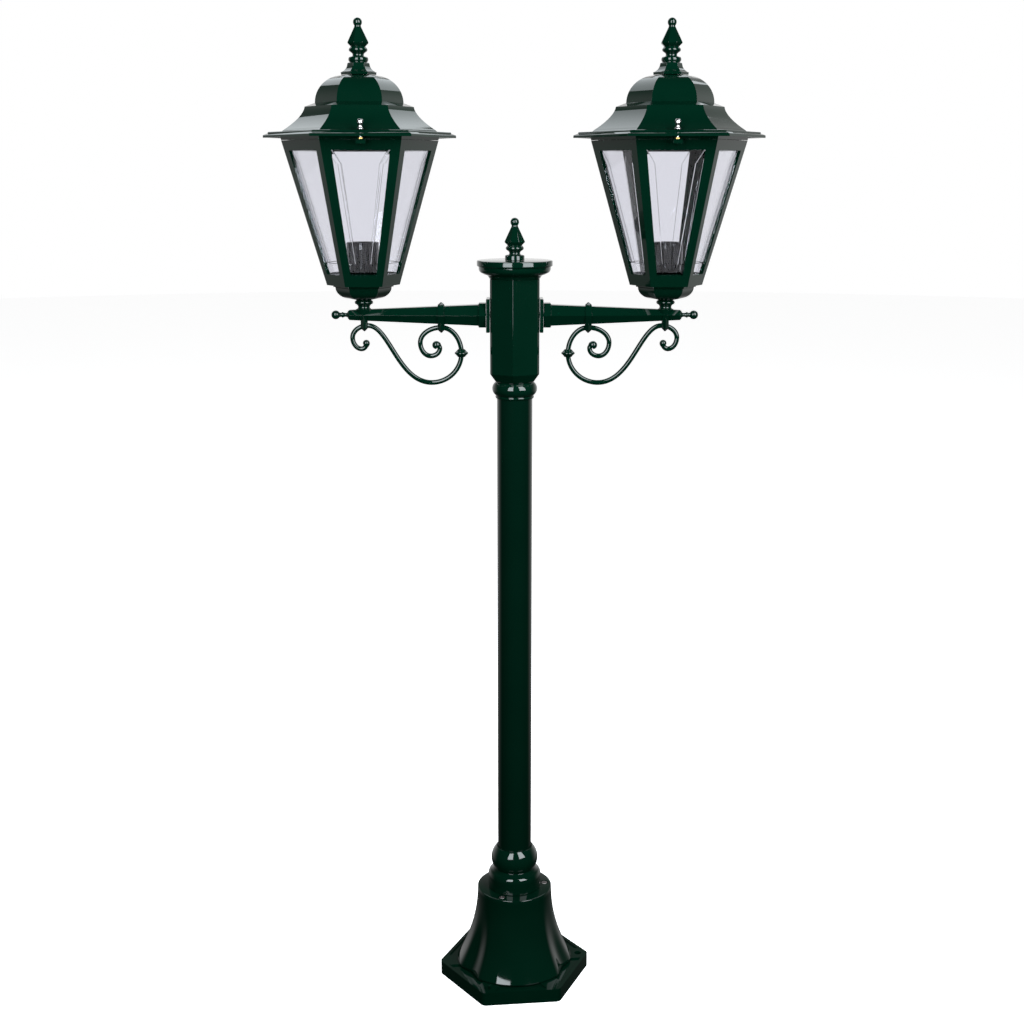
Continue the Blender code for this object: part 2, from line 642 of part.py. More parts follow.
def build_roof(side, axis):
    hinge = add_empty(side + "_roof_hinge", (0.0, HINGE_Y, HINGE_Z), axis)
    home = (0.0, -HINGE_Y, -HINGE_Z)

    skirt_top, skirt_foot = (77.8, 1364.8), (108.3, 1332.8)
    skirt = []
    for i in range(8):
        t = i / 7
        skirt.append((skirt_top[0] + (skirt_foot[0] - skirt_top[0]) * t ** 1.65,
                      skirt_top[1] + (skirt_foot[1] - skirt_top[1]) * t))
    outer = [(8.0, DOME_TOP_Z)] + arc((22.0, 1370.0), (41.0, 38.0), 84, 0, 8) + skirt
    outer += [(111.0, 1330.6), (131.0, 1330.0), (131.0, 1328.0), (EAVE_R, 1325.4),
              (EAVE_R, EAVE_Z)]
    inner = [(133.5, EAVE_Z), (132.0, 1325.4), (114.6, 1326.6), (112.3, CAGE_TOP_Z + 0.4),
             (105.0, CAGE_TOP_Z + 0.4), (101.5, 1332.0), (90.0, 1340.0), (80.0, 1350.0),
             (74.5, 1361.5), (59.5, 1366.5), (57.5, 1380.0), (45.0, 1396.0), (22.0, 1404.5),
             (8.0, 1405.2)]
    roof = turned(side + "_roof", outer + inner, 6, "green_paint", hinge, smooth=False)
    roof.location = mm(*home)

    knuckle = bar_x(side + "_knuckle", 0.0, 0.0, 4.2, -6.9, 6.9, hinge)
    web = box(side + "_knuckle_web", (-6.9, -9.0, 0.0), (6.9, 4.0, 10.6), hinge)
    boolean(roof, web, "UNION")
    boolean(roof, knuckle, "UNION")
    boolean(roof, bar_x(side + "_knuckle_bore", 0.0, 0.0, HINGE_PIN_R + GAP, -20.0, 20.0, hinge),
            "DIFFERENCE")
    screw_hole = cylinders(side + "_roof_screw_hole", [(0, SCREW_Y - HINGE_Y)], SCREW_HOLE_R,
                           0.0, 30.0, hinge)
    boolean(roof, screw_hole, "DIFFERENCE")

    build_finial(side + "_roof_finial", DOME_TOP_Z + GAP, hinge, brim=25.4)
    bpy.data.objects[side + "_roof_finial"].location = mm(*home)

    screw_axis = add_empty(side + "_screw_axis", (0.0, SCREW_Y - HINGE_Y, 0.0), hinge)
    shoulder = 1330.6 + GAP
    screw = [(0.0, 1345.2), (2.3, 1344.8), (3.9, 1343.4), (4.4, 1341.4), (4.4, 1338.4),
             (3.1, 1337.6), (3.1, 1333.0), (4.6, 1332.4), (4.6, shoulder), (2.0, shoulder),
             (2.0, 1313.2), (1.2, 1312.4), (0.0, 1312.4)]
    turned(side + "_roof_screw", screw, 12, "bright_steel", screw_axis)
    bpy.data.objects[side + "_roof_screw"].location = mm(0.0, 0.0, -HINGE_Z)

    pin = [(0.0, 13.6), (3.0, 13.6), (3.0, 12.3), (HINGE_PIN_R, 12.3), (HINGE_PIN_R, -13.6),
           (0.0, -13.6)]
    hinge_pin = turned(side + "_hinge_pin", pin, 12, "bright_steel", axis, along_x=True)
    hinge_pin.location = mm(0.0, HINGE_Y, HINGE_Z)


def build_lantern(side, x, yaw):
    axis = add_empty(side + "_lantern_axis", (x, 0.0, 0.0), turn=yaw)
    build_cage(side, axis)
    build_roof(side, axis)

    top = CAGE_BOTTOM_Z - GAP
    bowl = [(44.1, top), (44.1, 1110.2)] + arc((17.7, 1110.2), (23.5, 17.8), 0, -90, 6)
    bowl += [(5.2, 1092.4), (5.2, 1096.2), (16.0, 1096.2)]
    bowl += arc((16.0, 1109.5), (19.5, 13.3), -70, 0, 4) + [(35.5, top)]
    turned(side + "_lantern_bowl", bowl, 6, "green_paint", axis, smooth=False)

    foot_z = ARM_Z + 0.4
    bore = NIPPLE_R + GAP
    stem = [(13.2, 1092.1), (11.2, 1090.8)] + arc((10.6, 1087.4), (3.2, 2.9), 80, -80, 4)
    stem += [(9.0, 1083.4), (8.9, 1080.6), (12.2, 1077.6), (9.7, foot_z), (bore, foot_z),
             (bore, 1092.1)]
    stem_ring = turned(side + "_lantern_stem", stem, 16, "green_paint", axis)
    saddle_half = 22.0
    near = arm_radius(LANTERN_X - saddle_half) + 0.4
    far = arm_radius(LANTERN_X + saddle_half) + 0.4
    arm_axis = bpy.data.objects[side + "_arm_axis"]
    saddle = turned(side + "_saddle", [(0.0, LANTERN_X + saddle_half), (far, LANTERN_X + saddle_half),
                                       (near, LANTERN_X - saddle_half),
                                       (0.0, LANTERN_X - saddle_half)], 6, None, arm_axis,
                    along_x=True)
    boolean(stem_ring, saddle, "DIFFERENCE")

    turned(side + "_nipple", [(NIPPLE_R, 1127.0), (NIPPLE_R, ARM_Z + 4.6), (2.8, ARM_Z + 4.6),
                              (2.8, 1127.0)], 12, "bright_steel", axis)
    holder = [(21.5, 1175.0), (21.5, 1141.0), (19.6, 1128.0), (14.0, 1119.0), (12.0, 1116.4),
              (bore, 1116.4), (bore, 1134.0), (17.2, 1136.0), (18.4, 1142.0), (18.4, 1175.0)]
    turned(side + "_lampholder", holder, 20, "phenolic", axis)
    shell = [(14.6, 1168.0), (14.6, 1136.8), (3.0, 1136.8), (3.0, 1138.4), (13.4, 1138.4),
             (13.4, 1168.0)]
    turned(side + "_lamp_socket", shell, 16, "brass", axis)


def build_lead(side):
    """Supply lead from the terminal block, along the arm's bore and up into the lampholder."""
    bend = 10.0
    route = [(9.0, 1115.6), (9.0, 1100.0), (9.0, ARM_Z + bend)]
    route += [(x, z) for x, z in arc((9.0 + bend, ARM_Z + bend), (bend, bend), 180, 270, 5)[1:]]
    route += [(80.0, ARM_Z), (150.0, ARM_Z)]
    rise = 5.5
    route += arc((LANTERN_X - rise, ARM_Z + rise), (rise, rise), -90, 0, 4)
    route += [(LANTERN_X, 1100.0), (LANTERN_X, 1133.0)]
    rod_mesh(side + "_lead", route, 1.2, "lead_sheath", bpy.data.objects[side + "_arm_axis"],
             smoothness=1)


build_foot()
build_post()
build_hub()
for side, turn, yaw in (("left", 180.0, LEFT_LANTERN_YAW), ("right", 0.0, 0.0)):
    build_arm(side, turn)
    build_lantern(side, LANTERN_X if side == "right" else -LANTERN_X, yaw)
    build_lead(side)
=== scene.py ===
# %% [markdown]
# # A twin-lantern garden post light
# The real light is cast aluminium and steel under one thick coat of gloss green powder paint. A round
# tube stands in a fluted cast foot. A hexagonal hub carries two tapered arms with wrought scrolls, and
# each arm ends in a six-sided lantern with bevelled panes and a roof that hinges open for the lamp.
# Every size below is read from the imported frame, so each new piece lands exactly on its solid.

# %% Load the frame
import json
from math import atan2, cos, pi, radians, sin, sqrt, tan

import bmesh
import bpy
from mathutils import Matrix, Vector


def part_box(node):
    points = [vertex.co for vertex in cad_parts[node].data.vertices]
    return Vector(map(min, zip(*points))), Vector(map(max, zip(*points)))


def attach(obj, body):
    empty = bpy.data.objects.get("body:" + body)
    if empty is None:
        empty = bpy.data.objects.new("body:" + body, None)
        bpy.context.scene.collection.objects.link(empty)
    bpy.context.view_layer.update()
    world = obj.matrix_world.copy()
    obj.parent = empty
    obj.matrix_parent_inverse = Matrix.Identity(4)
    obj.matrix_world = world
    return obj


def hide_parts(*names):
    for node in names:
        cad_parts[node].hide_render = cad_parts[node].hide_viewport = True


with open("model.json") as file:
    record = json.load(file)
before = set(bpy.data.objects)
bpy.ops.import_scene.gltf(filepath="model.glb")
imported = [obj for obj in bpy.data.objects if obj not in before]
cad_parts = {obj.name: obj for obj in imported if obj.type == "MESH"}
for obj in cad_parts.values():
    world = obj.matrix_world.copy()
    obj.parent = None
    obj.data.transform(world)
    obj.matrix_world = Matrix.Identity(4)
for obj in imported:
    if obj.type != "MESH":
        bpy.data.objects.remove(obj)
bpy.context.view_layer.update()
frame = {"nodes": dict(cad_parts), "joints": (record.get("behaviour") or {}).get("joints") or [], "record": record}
SIDES = ("left", "right")
COS30 = cos(pi / 6)
UP = Vector((0.0, 0.0, 1.0))


def span(node):
    """Lowest and highest corner of a node, in millimetres."""
    low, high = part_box(node)
    return low * 1000.0, high * 1000.0


def centre(node):
    low, high = span(node)
    return (low + high) / 2


def roof_hinge(side):
    """The frame's joint that opens a roof."""
    return next(j for j in frame["joints"] if j["name"] == side + "_roof_hinge")


# %% [markdown]
# ## Where the lanterns stand
# A lantern is drawn once, around its own upright axis, with its front pane towards -Y. It is then moved
# to each arm. The left one is turned a little on its stem, which is how such a fitting ends up when the
# nut is tightened. The hinge axis in the frame's joints gives that angle, so nothing is measured by eye.

# %% Lantern and arm placements
ARM_LEVEL = centre("right_arm").z
LANTERN = {}
ARM = {}
for side in SIDES:
    hinge = roof_hinge(side)
    yaw = atan2(-hinge["axis"][1], -hinge["axis"][0])
    middle = centre(side + "_lampholder") / 1000.0
    LANTERN[side] = Matrix.Translation((middle.x, middle.y, 0.0)) @ Matrix.Rotation(yaw, 4, "Z")
    ARM[side] = Matrix.Rotation(pi if side == "left" else 0.0, 4, "Z")
    print(side, "lantern at x = %.1f mm, turned %.1f degrees" % (middle.x * 1000, yaw * 180 / pi))

# Lays a turned piece's axis along an arm.
ALONG_ARM = Matrix.Translation((0, 0, ARM_LEVEL / 1000.0)) @ Matrix.Rotation(pi / 2, 4, "Y")


# %% [markdown]
# ## Material helpers
# Every finish here is a Principled shader with a few noise textures on Object coordinates. An image
# texture would need unwrapping and files; noise in object space runs on from one piece to the next and
# keeps its true scale in metres, which is what sprayed paint and cast metal do.

# %% Node shorthand
def new_material(name):
    material = bpy.data.materials.new(name)
    material.use_nodes = True
    nodes = material.node_tree.nodes
    return material, nodes, material.node_tree.links, nodes["Principled BSDF"]


def noise(nodes, links, scale, detail=2.0, roughness=0.5):
    """Noise texture on Object coordinates; the scale counts features per metre."""
    coordinates = nodes.new("ShaderNodeTexCoord")
    texture = nodes.new("ShaderNodeTexNoise")
    texture.inputs["Scale"].default_value = scale
    texture.inputs["Detail"].default_value = detail
    texture.inputs["Roughness"].default_value = roughness
    links.new(coordinates.outputs["Object"], texture.inputs["Vector"])
    return texture.outputs["Fac"]


def remap(nodes, links, value, low, high, start=0.3, stop=0.7):
    node = nodes.new("ShaderNodeMapRange")
    node.inputs["From Min"].default_value = start
    node.inputs["From Max"].default_value = stop
    node.inputs["To Min"].default_value = low
    node.inputs["To Max"].default_value = high
    links.new(value, node.inputs["Value"])
    return node.outputs["Result"]


def blend_colours(nodes, links, value, first, second):
    mix = nodes.new("ShaderNodeMix")
    mix.data_type = "RGBA"
    mix.inputs[6].default_value = (*first, 1.0)
    mix.inputs[7].default_value = (*second, 1.0)
    links.new(value, mix.inputs["Factor"])
    return mix.outputs[2]


def bump(nodes, links, height, distance, strength, normal=None):
    node = nodes.new("ShaderNodeBump")
    node.inputs["Distance"].default_value = distance
    node.inputs["Strength"].default_value = strength
    links.new(height, node.inputs["Height"])
    if normal is not None:
        links.new(normal, node.inputs["Normal"])
    return node.outputs["Normal"]


# %% [markdown]
# ## Gloss green powder coat
# Powder paint melts into a thick glassy skin. It is nearly mirror smooth but keeps a fine orange peel,
# a slow waviness from the casting below, and a breath of dust that dulls it unevenly. So the colour
# barely changes, the roughness drifts, and two bumps of very different scale share the normal.

# %% Paint
def make_paint(name, dark, light, wave):
    material, nodes, links, shader = new_material(name)
    drift = remap(nodes, links, noise(nodes, links, 9.0, 3.0), 0.0, 1.0)
    links.new(blend_colours(nodes, links, drift, dark, light), shader.inputs["Base Color"])
    dust = remap(nodes, links, noise(nodes, links, 38.0, 4.0, 0.6), 0.04, 0.075)
    links.new(dust, shader.inputs["Roughness"])
    slow = bump(nodes, links, noise(nodes, links, 22.0, 1.0), 0.001, wave)
    peel = bump(nodes, links, noise(nodes, links, 420.0, 2.0), 0.0002, 0.010, slow)
    links.new(peel, shader.inputs["Normal"])
    shader.inputs["IOR"].default_value = 1.5
    return material


CAST_PAINT = make_paint("green powder coat on castings", (0.0003, 0.0100, 0.0050),
                        (0.0006, 0.0120, 0.0062), 0.03)
TUBE_PAINT = make_paint("green powder coat on tube", (0.0003, 0.0080, 0.0042),
                        (0.0005, 0.0094, 0.0050), 0.02)
INSIDE_PAINT = make_paint("thin green paint inside castings", (0.0010, 0.0120, 0.0070),
                          (0.0022, 0.0160, 0.0100), 0.3)


# %% [markdown]
# ## Glass, bright metal, phenolic and brass
# The panes are pressed glass, so they get a trace of waviness, and the grooves ground into them are dull,
# frosted and tinted dark: painted shade that draws the crease lines.
# The thumb screws are plated bright, while the foot's cap screws are plain stainless and look darker.
# The lampholder is glossy black phenolic with faint mottling, and its shell is spun brass.

# %% Other finishes
def make_glass(name, colour, rough_low, rough_high):
    material, nodes, links, shader = new_material(name)
    shader.inputs["Base Color"].default_value = (*colour, 1.0)
    shader.inputs["Transmission Weight"].default_value = 1.0
    shader.inputs["IOR"].default_value = 1.45
    roughness = remap(nodes, links, noise(nodes, links, 60.0), rough_low, rough_high)
    links.new(roughness, shader.inputs["Roughness"])
    wavy = bump(nodes, links, noise(nodes, links, 14.0, 1.0), 0.0004, 0.03)
    links.new(wavy, shader.inputs["Normal"])
    return material


def make_metal(name, dark, light, rough_low, rough_high):
    material, nodes, links, shader = new_material(name)
    cloud = remap(nodes, links, noise(nodes, links, 120.0, 3.0), 0.0, 1.0)
    links.new(blend_colours(nodes, links, cloud, dark, light), shader.inputs["Base Color"])
    links.new(remap(nodes, links, noise(nodes, links, 260.0, 3.0), rough_low, rough_high),
              shader.inputs["Roughness"])
    shader.inputs["Metallic"].default_value = 1.0
    links.new(bump(nodes, links, noise(nodes, links, 900.0, 2.0), 0.0001, 0.15),
              shader.inputs["Normal"])
    return material


def make_moulding(name, dark, light, rough_low, rough_high):
    material, nodes, links, shader = new_material(name)
    mottle = remap(nodes, links, noise(nodes, links, 300.0, 4.0), 0.0, 1.0)
    links.new(blend_colours(nodes, links, mottle, dark, light), shader.inputs["Base Color"])
    links.new(remap(nodes, links, noise(nodes, links, 90.0, 3.0), rough_low, rough_high),
              shader.inputs["Roughness"])
    links.new(bump(nodes, links, noise(nodes, links, 700.0, 2.0), 0.0001, 0.03),
              shader.inputs["Normal"])
    return material


GLASS = make_glass("pressed clear glass", (0.870, 0.872, 0.915), 0.0, 0.012)
# The second glass's dark tint is painted shade: it draws the thin dark crease lines along the panes' grooves.
CREASE_LINE_SHADE_GLASS = make_glass("frosted glass tinted dark as painted crease shade", (0.12, 0.125, 0.15), 0.35, 0.5)
BRIGHT = make_metal("bright nickel plate", (0.62, 0.61, 0.60), (0.80, 0.80, 0.80), 0.08, 0.18)
STAINLESS = make_metal("dull stainless steel", (0.22, 0.20, 0.20), (0.34, 0.31, 0.31), 0.30, 0.42)
BRASS = make_metal("spun brass", (0.55, 0.36, 0.12), (0.72, 0.50, 0.20), 0.18, 0.32)
PHENOLIC = make_moulding("black phenolic", (0.004, 0.004, 0.005), (0.008, 0.008, 0.010), 0.04, 0.08)
SHEATH = make_moulding("silicone lead sheath", (0.42, 0.41, 0.38), (0.55, 0.54, 0.50), 0.4, 0.6)
TERMINAL = make_moulding("terminal block polyamide", (0.55, 0.53, 0.47), (0.66, 0.64, 0.58), 0.35, 0.5)
print("materials:", [m.name for m in bpy.data.materials if m.users])

SLOT_FINISH = {"green_paint": INSIDE_PAINT, "clear_glass": GLASS, "bright_steel": BRIGHT,
               "phenolic": PHENOLIC, "brass": BRASS, "lead_sheath": SHEATH,
               "terminal_plastic": TERMINAL}
for entry in frame["record"]["subparts"]:
    skin = frame["nodes"][entry["node"]].data
    skin.materials.clear()
    skin.materials.append(SLOT_FINISH[entry["material_slot"]])


# %% [markdown]
# ## Modelling helpers
# Most of this light is either turned or six-sided, and one tool makes both: bmesh.ops.spin swept in many
# steps gives a turned piece, and in six steps a hexagonal one. Profiles are written in millimetres, down
# the outer side. A narrow Bevel modifier then rounds each hard edge, because a real painted edge always
# catches a line of light. Turned pieces harden the bevel's normals. Flat-sided ones weight the normals by
# face area instead, which keeps a long flat face from shading as if it were curved.

# %% Spin, finish and cut
def arc(middle, radii, start, end, steps):
    """Points on an elliptical arc between two angles in degrees."""
    angles = [radians(start + (end - start) * i / steps) for i in range(steps + 1)]
    return [(middle[0] + radii[0] * cos(a), middle[1] + radii[1] * sin(a)) for a in angles]


def spun(profile, steps, start=0.0):
    """Sweep a (radius, height) profile round Z; points on the axis become poles."""
    bm = bmesh.new()
    verts = [bm.verts.new((r * cos(start) / 1000, r * sin(start) / 1000, h / 1000))
             for r, h in profile]
    edges = [bm.edges.new(pair) for pair in zip(verts, verts[1:])]
    if max(profile[0][0], profile[-1][0]) > 0.0:
        edges.append(bm.edges.new((verts[-1], verts[0])))
    bmesh.ops.spin(bm, geom=verts + edges, cent=(0, 0, 0), axis=UP, angle=2 * pi, steps=steps,
                   use_merge=True)
    bmesh.ops.remove_doubles(bm, verts=bm.verts, dist=1e-6)
    bmesh.ops.recalc_face_normals(bm, faces=bm.faces)
    return bm


def to_object(name, bm, place=None):
    if place is not None:
        bmesh.ops.transform(bm, matrix=place, verts=bm.verts)
    mesh = bpy.data.meshes.new(name)
    bm.to_mesh(mesh)
    bm.free()
    mesh.shade_smooth()
    obj = bpy.data.objects.new(name, mesh)
    bpy.context.scene.collection.objects.link(obj)
    return obj


def apply_modifiers(obj):
    graph = bpy.context.evaluated_depsgraph_get()
    mesh = bpy.data.meshes.new_from_object(obj.evaluated_get(graph))
    obj.modifiers.clear()
    obj.data = mesh


def combine(obj, others, operation):
    """Join or cut with exact Booleans, then drop the helpers."""
    for other in others:
        modifier = obj.modifiers.new("combine", "BOOLEAN")
        modifier.operation = operation
        modifier.solver = "EXACT"
        modifier.object = other
    apply_modifiers(obj)
    for other in others:
        bpy.data.objects.remove(other, do_unlink=True)
    return obj


def dress(obj, material, body, node, edge=0.5, rounds=2, corner=28.0,
          flat_sided=False):
    """Give a piece its finish, its rounded edges, and its place in the frame."""
    obj.data.materials.clear()
    obj.data.materials.append(material)
    obj.data.shade_smooth()
    if edge:
        bevel = obj.modifiers.new("eased edges", "BEVEL")
        bevel.width = edge / 1000
        bevel.segments = rounds
        bevel.limit_method = "ANGLE"
        bevel.angle_limit = radians(corner)
        bevel.harden_normals = not flat_sided
        bevel.use_clamp_overlap = True
    if flat_sided:
        weighted = obj.modifiers.new("flat faces", "WEIGHTED_NORMAL")
        weighted.weight = 100
    if node:
        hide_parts(node)
    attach(obj, body)
    print("%-26s %6d faces on %s" % (obj.name, len(obj.data.polygons), body))
    return obj


def whole_faces(node):
    """Merged copy of a node's mesh: its triangles dissolve back into whole faces."""
    bm = bmesh.new()
    bm.from_mesh(frame["nodes"][node].data)
    bmesh.ops.remove_doubles(bm, verts=bm.verts, dist=2e-6)
    bmesh.ops.dissolve_limit(bm, angle_limit=radians(1.0), verts=bm.verts, edges=bm.edges)
    return bm


def refined(node, name):
    """Flat-sided node as an object of its own."""
    return to_object(name, whole_faces(node))


def cylinder(radius, low, high, place=None, sides=48):
    """Upright cylinder between two heights, in millimetres, for cutting."""
    bm = bmesh.new()
    bmesh.ops.create_cone(bm, cap_ends=True, segments=sides, radius1=radius / 1000,
                          radius2=radius / 1000, depth=(high - low) / 1000,
                          matrix=Matrix.Translation((0, 0, (low + high) / 2000)))
    return to_object("cutter", bm, place)


# %% [markdown]
# ## The foot's bell
# The bell is one casting with the flange. Its skirt is straight at the top, flares like a trumpet, and
# rolls under at the bottom edge. Three shallow flutes fade out upwards. A loft would need its sections
# written out. Here the bell is spun round and the flutes are pressed in by moving vertices towards the
# axis, by an amount that depends only on their angle and height.

# %% Bell and flange
foot_high = span("base_casting")[1]
BELL_TOP = foot_high.z
BELL_R = 59.3
FLANGE_TOP = 22.0
first_screw = centre("collar_screw_1")
FOOT_TURN = atan2(first_screw.y, first_screw.x)
CORNER_ROUND = 9.0
FLANGE_APOTHEM = CORNER_ROUND + (foot_high.x - CORNER_ROUND) * COS30 / cos(FOOT_TURN)
FLUTES = (90.0, 210.0, 330.0)
THIRDS = (0, 120, 240)
ANCHOR_R = 104.6
COLLAR_BORE = 27.1
CLEAR = 160.0  # a height above everything that is cut
print("foot turned %.1f degrees" % (FOOT_TURN * 180 / pi))


def bell_radius(z, top_r=BELL_R, foot_r=94.0):
    fall = (BELL_TOP - z) / (BELL_TOP - FLANGE_TOP)
    return top_r + (foot_r - top_r) * max(fall, 0.0) ** 2.1


def press_flutes(bm, depth=0.085, half_width=20.0):
    """Move vertices inward along three soft grooves."""
    for vert in bm.verts:
        x, y, z = (vert.co * 1000)
        fade = min(1.0, max(0.0, (BELL_TOP - 14.0 - z) / 90.0))
        angle = (atan2(y, x) - FOOT_TURN) * 180 / pi
        away = min(abs((angle - flute + 180.0) % 360.0 - 180.0) for flute in FLUTES)
        dip = cos(min(away / half_width, 1.0) * pi / 2) ** 2
        shrink = 1.0 - depth * fade * fade * (3 - 2 * fade) * dip
        vert.co.x *= shrink
        vert.co.y *= shrink


def around_foot(degrees, radius=0.0):
    """Placement at an angle on the turned foot, with X pointing outwards."""
    return (Matrix.Rotation(radians(degrees) + FOOT_TURN, 4, "Z")
            @ Matrix.Translation((radius / 1000, 0, 0)))


def make_bell():
    lip = FLANGE_TOP + 3.0
    rows = [lip + (BELL_TOP - 2.0 - lip) * (1 - i / 24) for i in range(25)]
    outer = [(0.0, BELL_TOP)] + arc((BELL_R - 1.5, BELL_TOP - 1.5), (1.5, 1.5), 90, 10, 4)
    outer += [(bell_radius(z), z) for z in rows[1:]]
    outer += arc((bell_radius(lip) - 2.4, lip), (2.4, 3.2), 0, -72, 5)[1:]
    outer += [(84.0, FLANGE_TOP - 3.0), (0.0, FLANGE_TOP - 3.0)]
    bell = spun(outer, 144)
    press_flutes(bell)
    return to_object("foot_bell", bell)


def make_flange():
    """A hexagon with rounded corners, raised pads at them, and a trough along each side."""
    corner_r = FLANGE_APOTHEM / COS30
    plate = spun([(0.0, FLANGE_TOP), (corner_r, FLANGE_TOP), (corner_r, 0.0), (0.0, 0.0)], 6,
                 start=FOOT_TURN)
    uprights = [e for e in plate.edges if abs(e.verts[0].co.z - e.verts[1].co.z) > 0.01]
    bmesh.ops.bevel(plate, geom=uprights, offset=CORNER_ROUND * tan(pi / 6) / 1000, segments=6,
                    profile=0.5, affect="EDGES", material=-1)
    flange = to_object("foot_casting", plate)
    troughs = []
    for side in range(6):
        bm = bmesh.new()
        corners = []
        for radial, sign in ((FLANGE_APOTHEM - 5.0, 1), (FLANGE_APOTHEM - 5.0, -1), (80.0, -1),
                             (80.0, 1)):
            along = sign * (radial * tan(pi / 6) - 15.0 / COS30)
            corners.append(bm.verts.new((radial / 1000, along / 1000, (FLANGE_TOP - 2.5) / 1000)))
        lid = bmesh.ops.extrude_face_region(bm, geom=[bm.faces.new(corners)])["geom"]
        bmesh.ops.translate(bm, vec=(0, 0, 0.01),
                            verts=[v for v in lid if isinstance(v, bmesh.types.BMVert)])
        bmesh.ops.recalc_face_normals(bm, faces=bm.faces)
        troughs.append(to_object("cutter", bm, around_foot(60 * side + 30)))
    return combine(flange, troughs, "DIFFERENCE")


def make_foot():
    bell, flange = make_bell(), make_flange()
    inside = [(bell_radius(z) * 0.915 - 6.0, z) for z in (92.0, 70.0, 52.0, 34.0)]
    hollow = spun([(0.0, 139.0), (53.6, 139.0), (53.6, 112.0)] + inside + [(80.0, -5.0), (0.0, -5.0)],
                  96)
    hollow = to_object("cutter", hollow)
    relief = spun([(0.0, 12.0), ((FLANGE_APOTHEM - 9.0) / COS30, 12.0),
                   ((FLANGE_APOTHEM - 8.0) / COS30, -1.0), (0.0, -1.0)], 6, start=FOOT_TURN)
    relief = to_object("cutter", relief)
    anchors = [cylinder(5.4, -5.0, 40.0, around_foot(turn, ANCHOR_R)) for turn in THIRDS]
    bosses = [cylinder(11.0, -3.0, 15.0, around_foot(turn, ANCHOR_R)) for turn in THIRDS]
    combine(relief, bosses, "DIFFERENCE")
    combine(flange, [bell], "UNION")
    passage = cylinder(COLLAR_BORE, 130.0, CLEAR, sides=144)
    combine(flange, [hollow, relief, passage], "DIFFERENCE")
    screw_r = sqrt(first_screw.x ** 2 + first_screw.y ** 2)
    holes = [cylinder(2.9, 130.0, CLEAR, around_foot(turn, screw_r)) for turn in THIRDS]
    sinks = [cylinder(6.0, BELL_TOP - 4.5, CLEAR, around_foot(turn, screw_r)) for turn in THIRDS]
    combine(flange, anchors + holes + sinks, "DIFFERENCE")
    return dress(flange, CAST_PAINT, "post", "base_casting", edge=0.7, rounds=3, corner=32.0)


make_foot()


# %% [markdown]
# ## Cap screws
# The socket screws are turned, and their hexagon sockets are cut with a six-sided pin. Each sits in a
# counterbore in the bell's top face.

# %% Cap screws
def make_cap_screw(number):
    low, high = span("collar_screw_%d" % number)
    top, seat = high.z, BELL_TOP - 4.2
    head = [(0.0, top), (3.8, top)] + arc((3.9, top - 0.8), (0.8, 0.8), 90, 0, 4)
    head += [(4.7, seat), (2.5, seat), (2.5, low.z), (0.0, low.z)]
    middle = centre("collar_screw_%d" % number) / 1000
    place = Matrix.Translation((middle.x, middle.y, 0))
    screw = to_object("cap_screw_%d" % number, spun(head, 48), place)
    combine(screw, [cylinder(2.4, top - 2.2, top + 2.0, place, sides=6)], "DIFFERENCE")
    dress(screw, STAINLESS, "post", "collar_screw_%d" % number, edge=0.2)


for number in (1, 2, 3):
    make_cap_screw(number)


# %% [markdown]
# ## Collars and tube
# The collars are plain turnings: a ball, a neck and a ring. Arcs in the profile carry the shape, so no
# point is wasted. The tube's wall has a ring of points at mid-height, which halves its long thin faces.

# %% Foot collar, post tube and hub collar
def make_foot_collar():
    low, high = span("base_collar")
    base, bore = low.z, COLLAR_BORE
    ring = [(bore, high.z)] + arc((8.9, base + 48.4), (28.1, 28.1), 46, -34, 22)
    ring += [(33.5, base + 31.7), (35.3, base + 29.9)]
    ring += arc((35.9, base + 18.7), (6.2, 9.7), 74, 0, 10)
    ring += [(42.1, base + 0.8), (41.4, base), (bore, base)]
    dress(to_object("foot_collar", spun(ring, 144)), CAST_PAINT, "post", "base_collar", edge=0.3)


def make_tube():
    low, high = span("post_tube")
    outer, inner = 26.5, 24.0
    wall = [(inner, high.z), (outer, high.z), (outer, (low.z + high.z) / 2), (outer, low.z),
            (inner, low.z), (inner, (low.z + high.z) / 2)]
    dress(to_object("post_tube_skin", spun(wall, 144)), TUBE_PAINT, "post", "post_tube", edge=0.4)


def make_hub_collar():
    low, high = span("hub_collar")
    base, bore = low.z, 26.8
    ring = [(bore, high.z)] + arc((22.5, base + 14.6), (11.1, 11.6), 60, -58, 16)
    ring += arc((27.4, base + 2.2), (1.5, 2.1), 75, -80, 7) + [(bore, base)]
    dress(to_object("hub_ring", spun(ring, 144)), CAST_PAINT, "post", "hub_collar", edge=0.2)


make_foot_collar()
make_tube()
make_hub_collar()


# %% [markdown]
# ## Hub
# The casing is flat-sided, so its solid's own faces are right: a merged copy gets rounded edges. The cap
# is turned, with a vertical rim, a quirk below it, and a cove down to the casing.

# %% Hub casing and cap
dress(refined("hub_casing", "hub_body"), CAST_PAINT, "post", "hub_casing", edge=0.5, rounds=3,
      corner=24.0, flat_sided=True)


def make_hub_cap():
    low, high = span("hub_cap")
    top, seat = high.z, low.z + 5.3
    cap = [(0.0, top)] + arc((53.8, top - 1.8), (1.8, 1.8), 90, 0, 6)
    cap += [(55.6, top - 6.6)] + arc((53.9, top - 7.0), (1.7, 1.6), 0, -78, 4)
    cap += [(53.1, top - 9.0)] + arc((46.9, top - 11.4), (6.1, 7.2), 0, -72, 9)
    cap += [(47.0, top - 18.9), (46.3, top - 19.6)]
    cap += arc((46.6, top - 28.6), (9.5, 8.7), 98, 163, 9)
    cap += [(37.0, seat), (30.6, seat), (30.6, low.z), (27.0, low.z), (27.0, top - 9.5),
            (0.0, top - 9.5)]
    dress(to_object("hub_lid", spun(cap, 160)), CAST_PAINT, "post", "hub_cap", edge=0.3)


make_hub_cap()


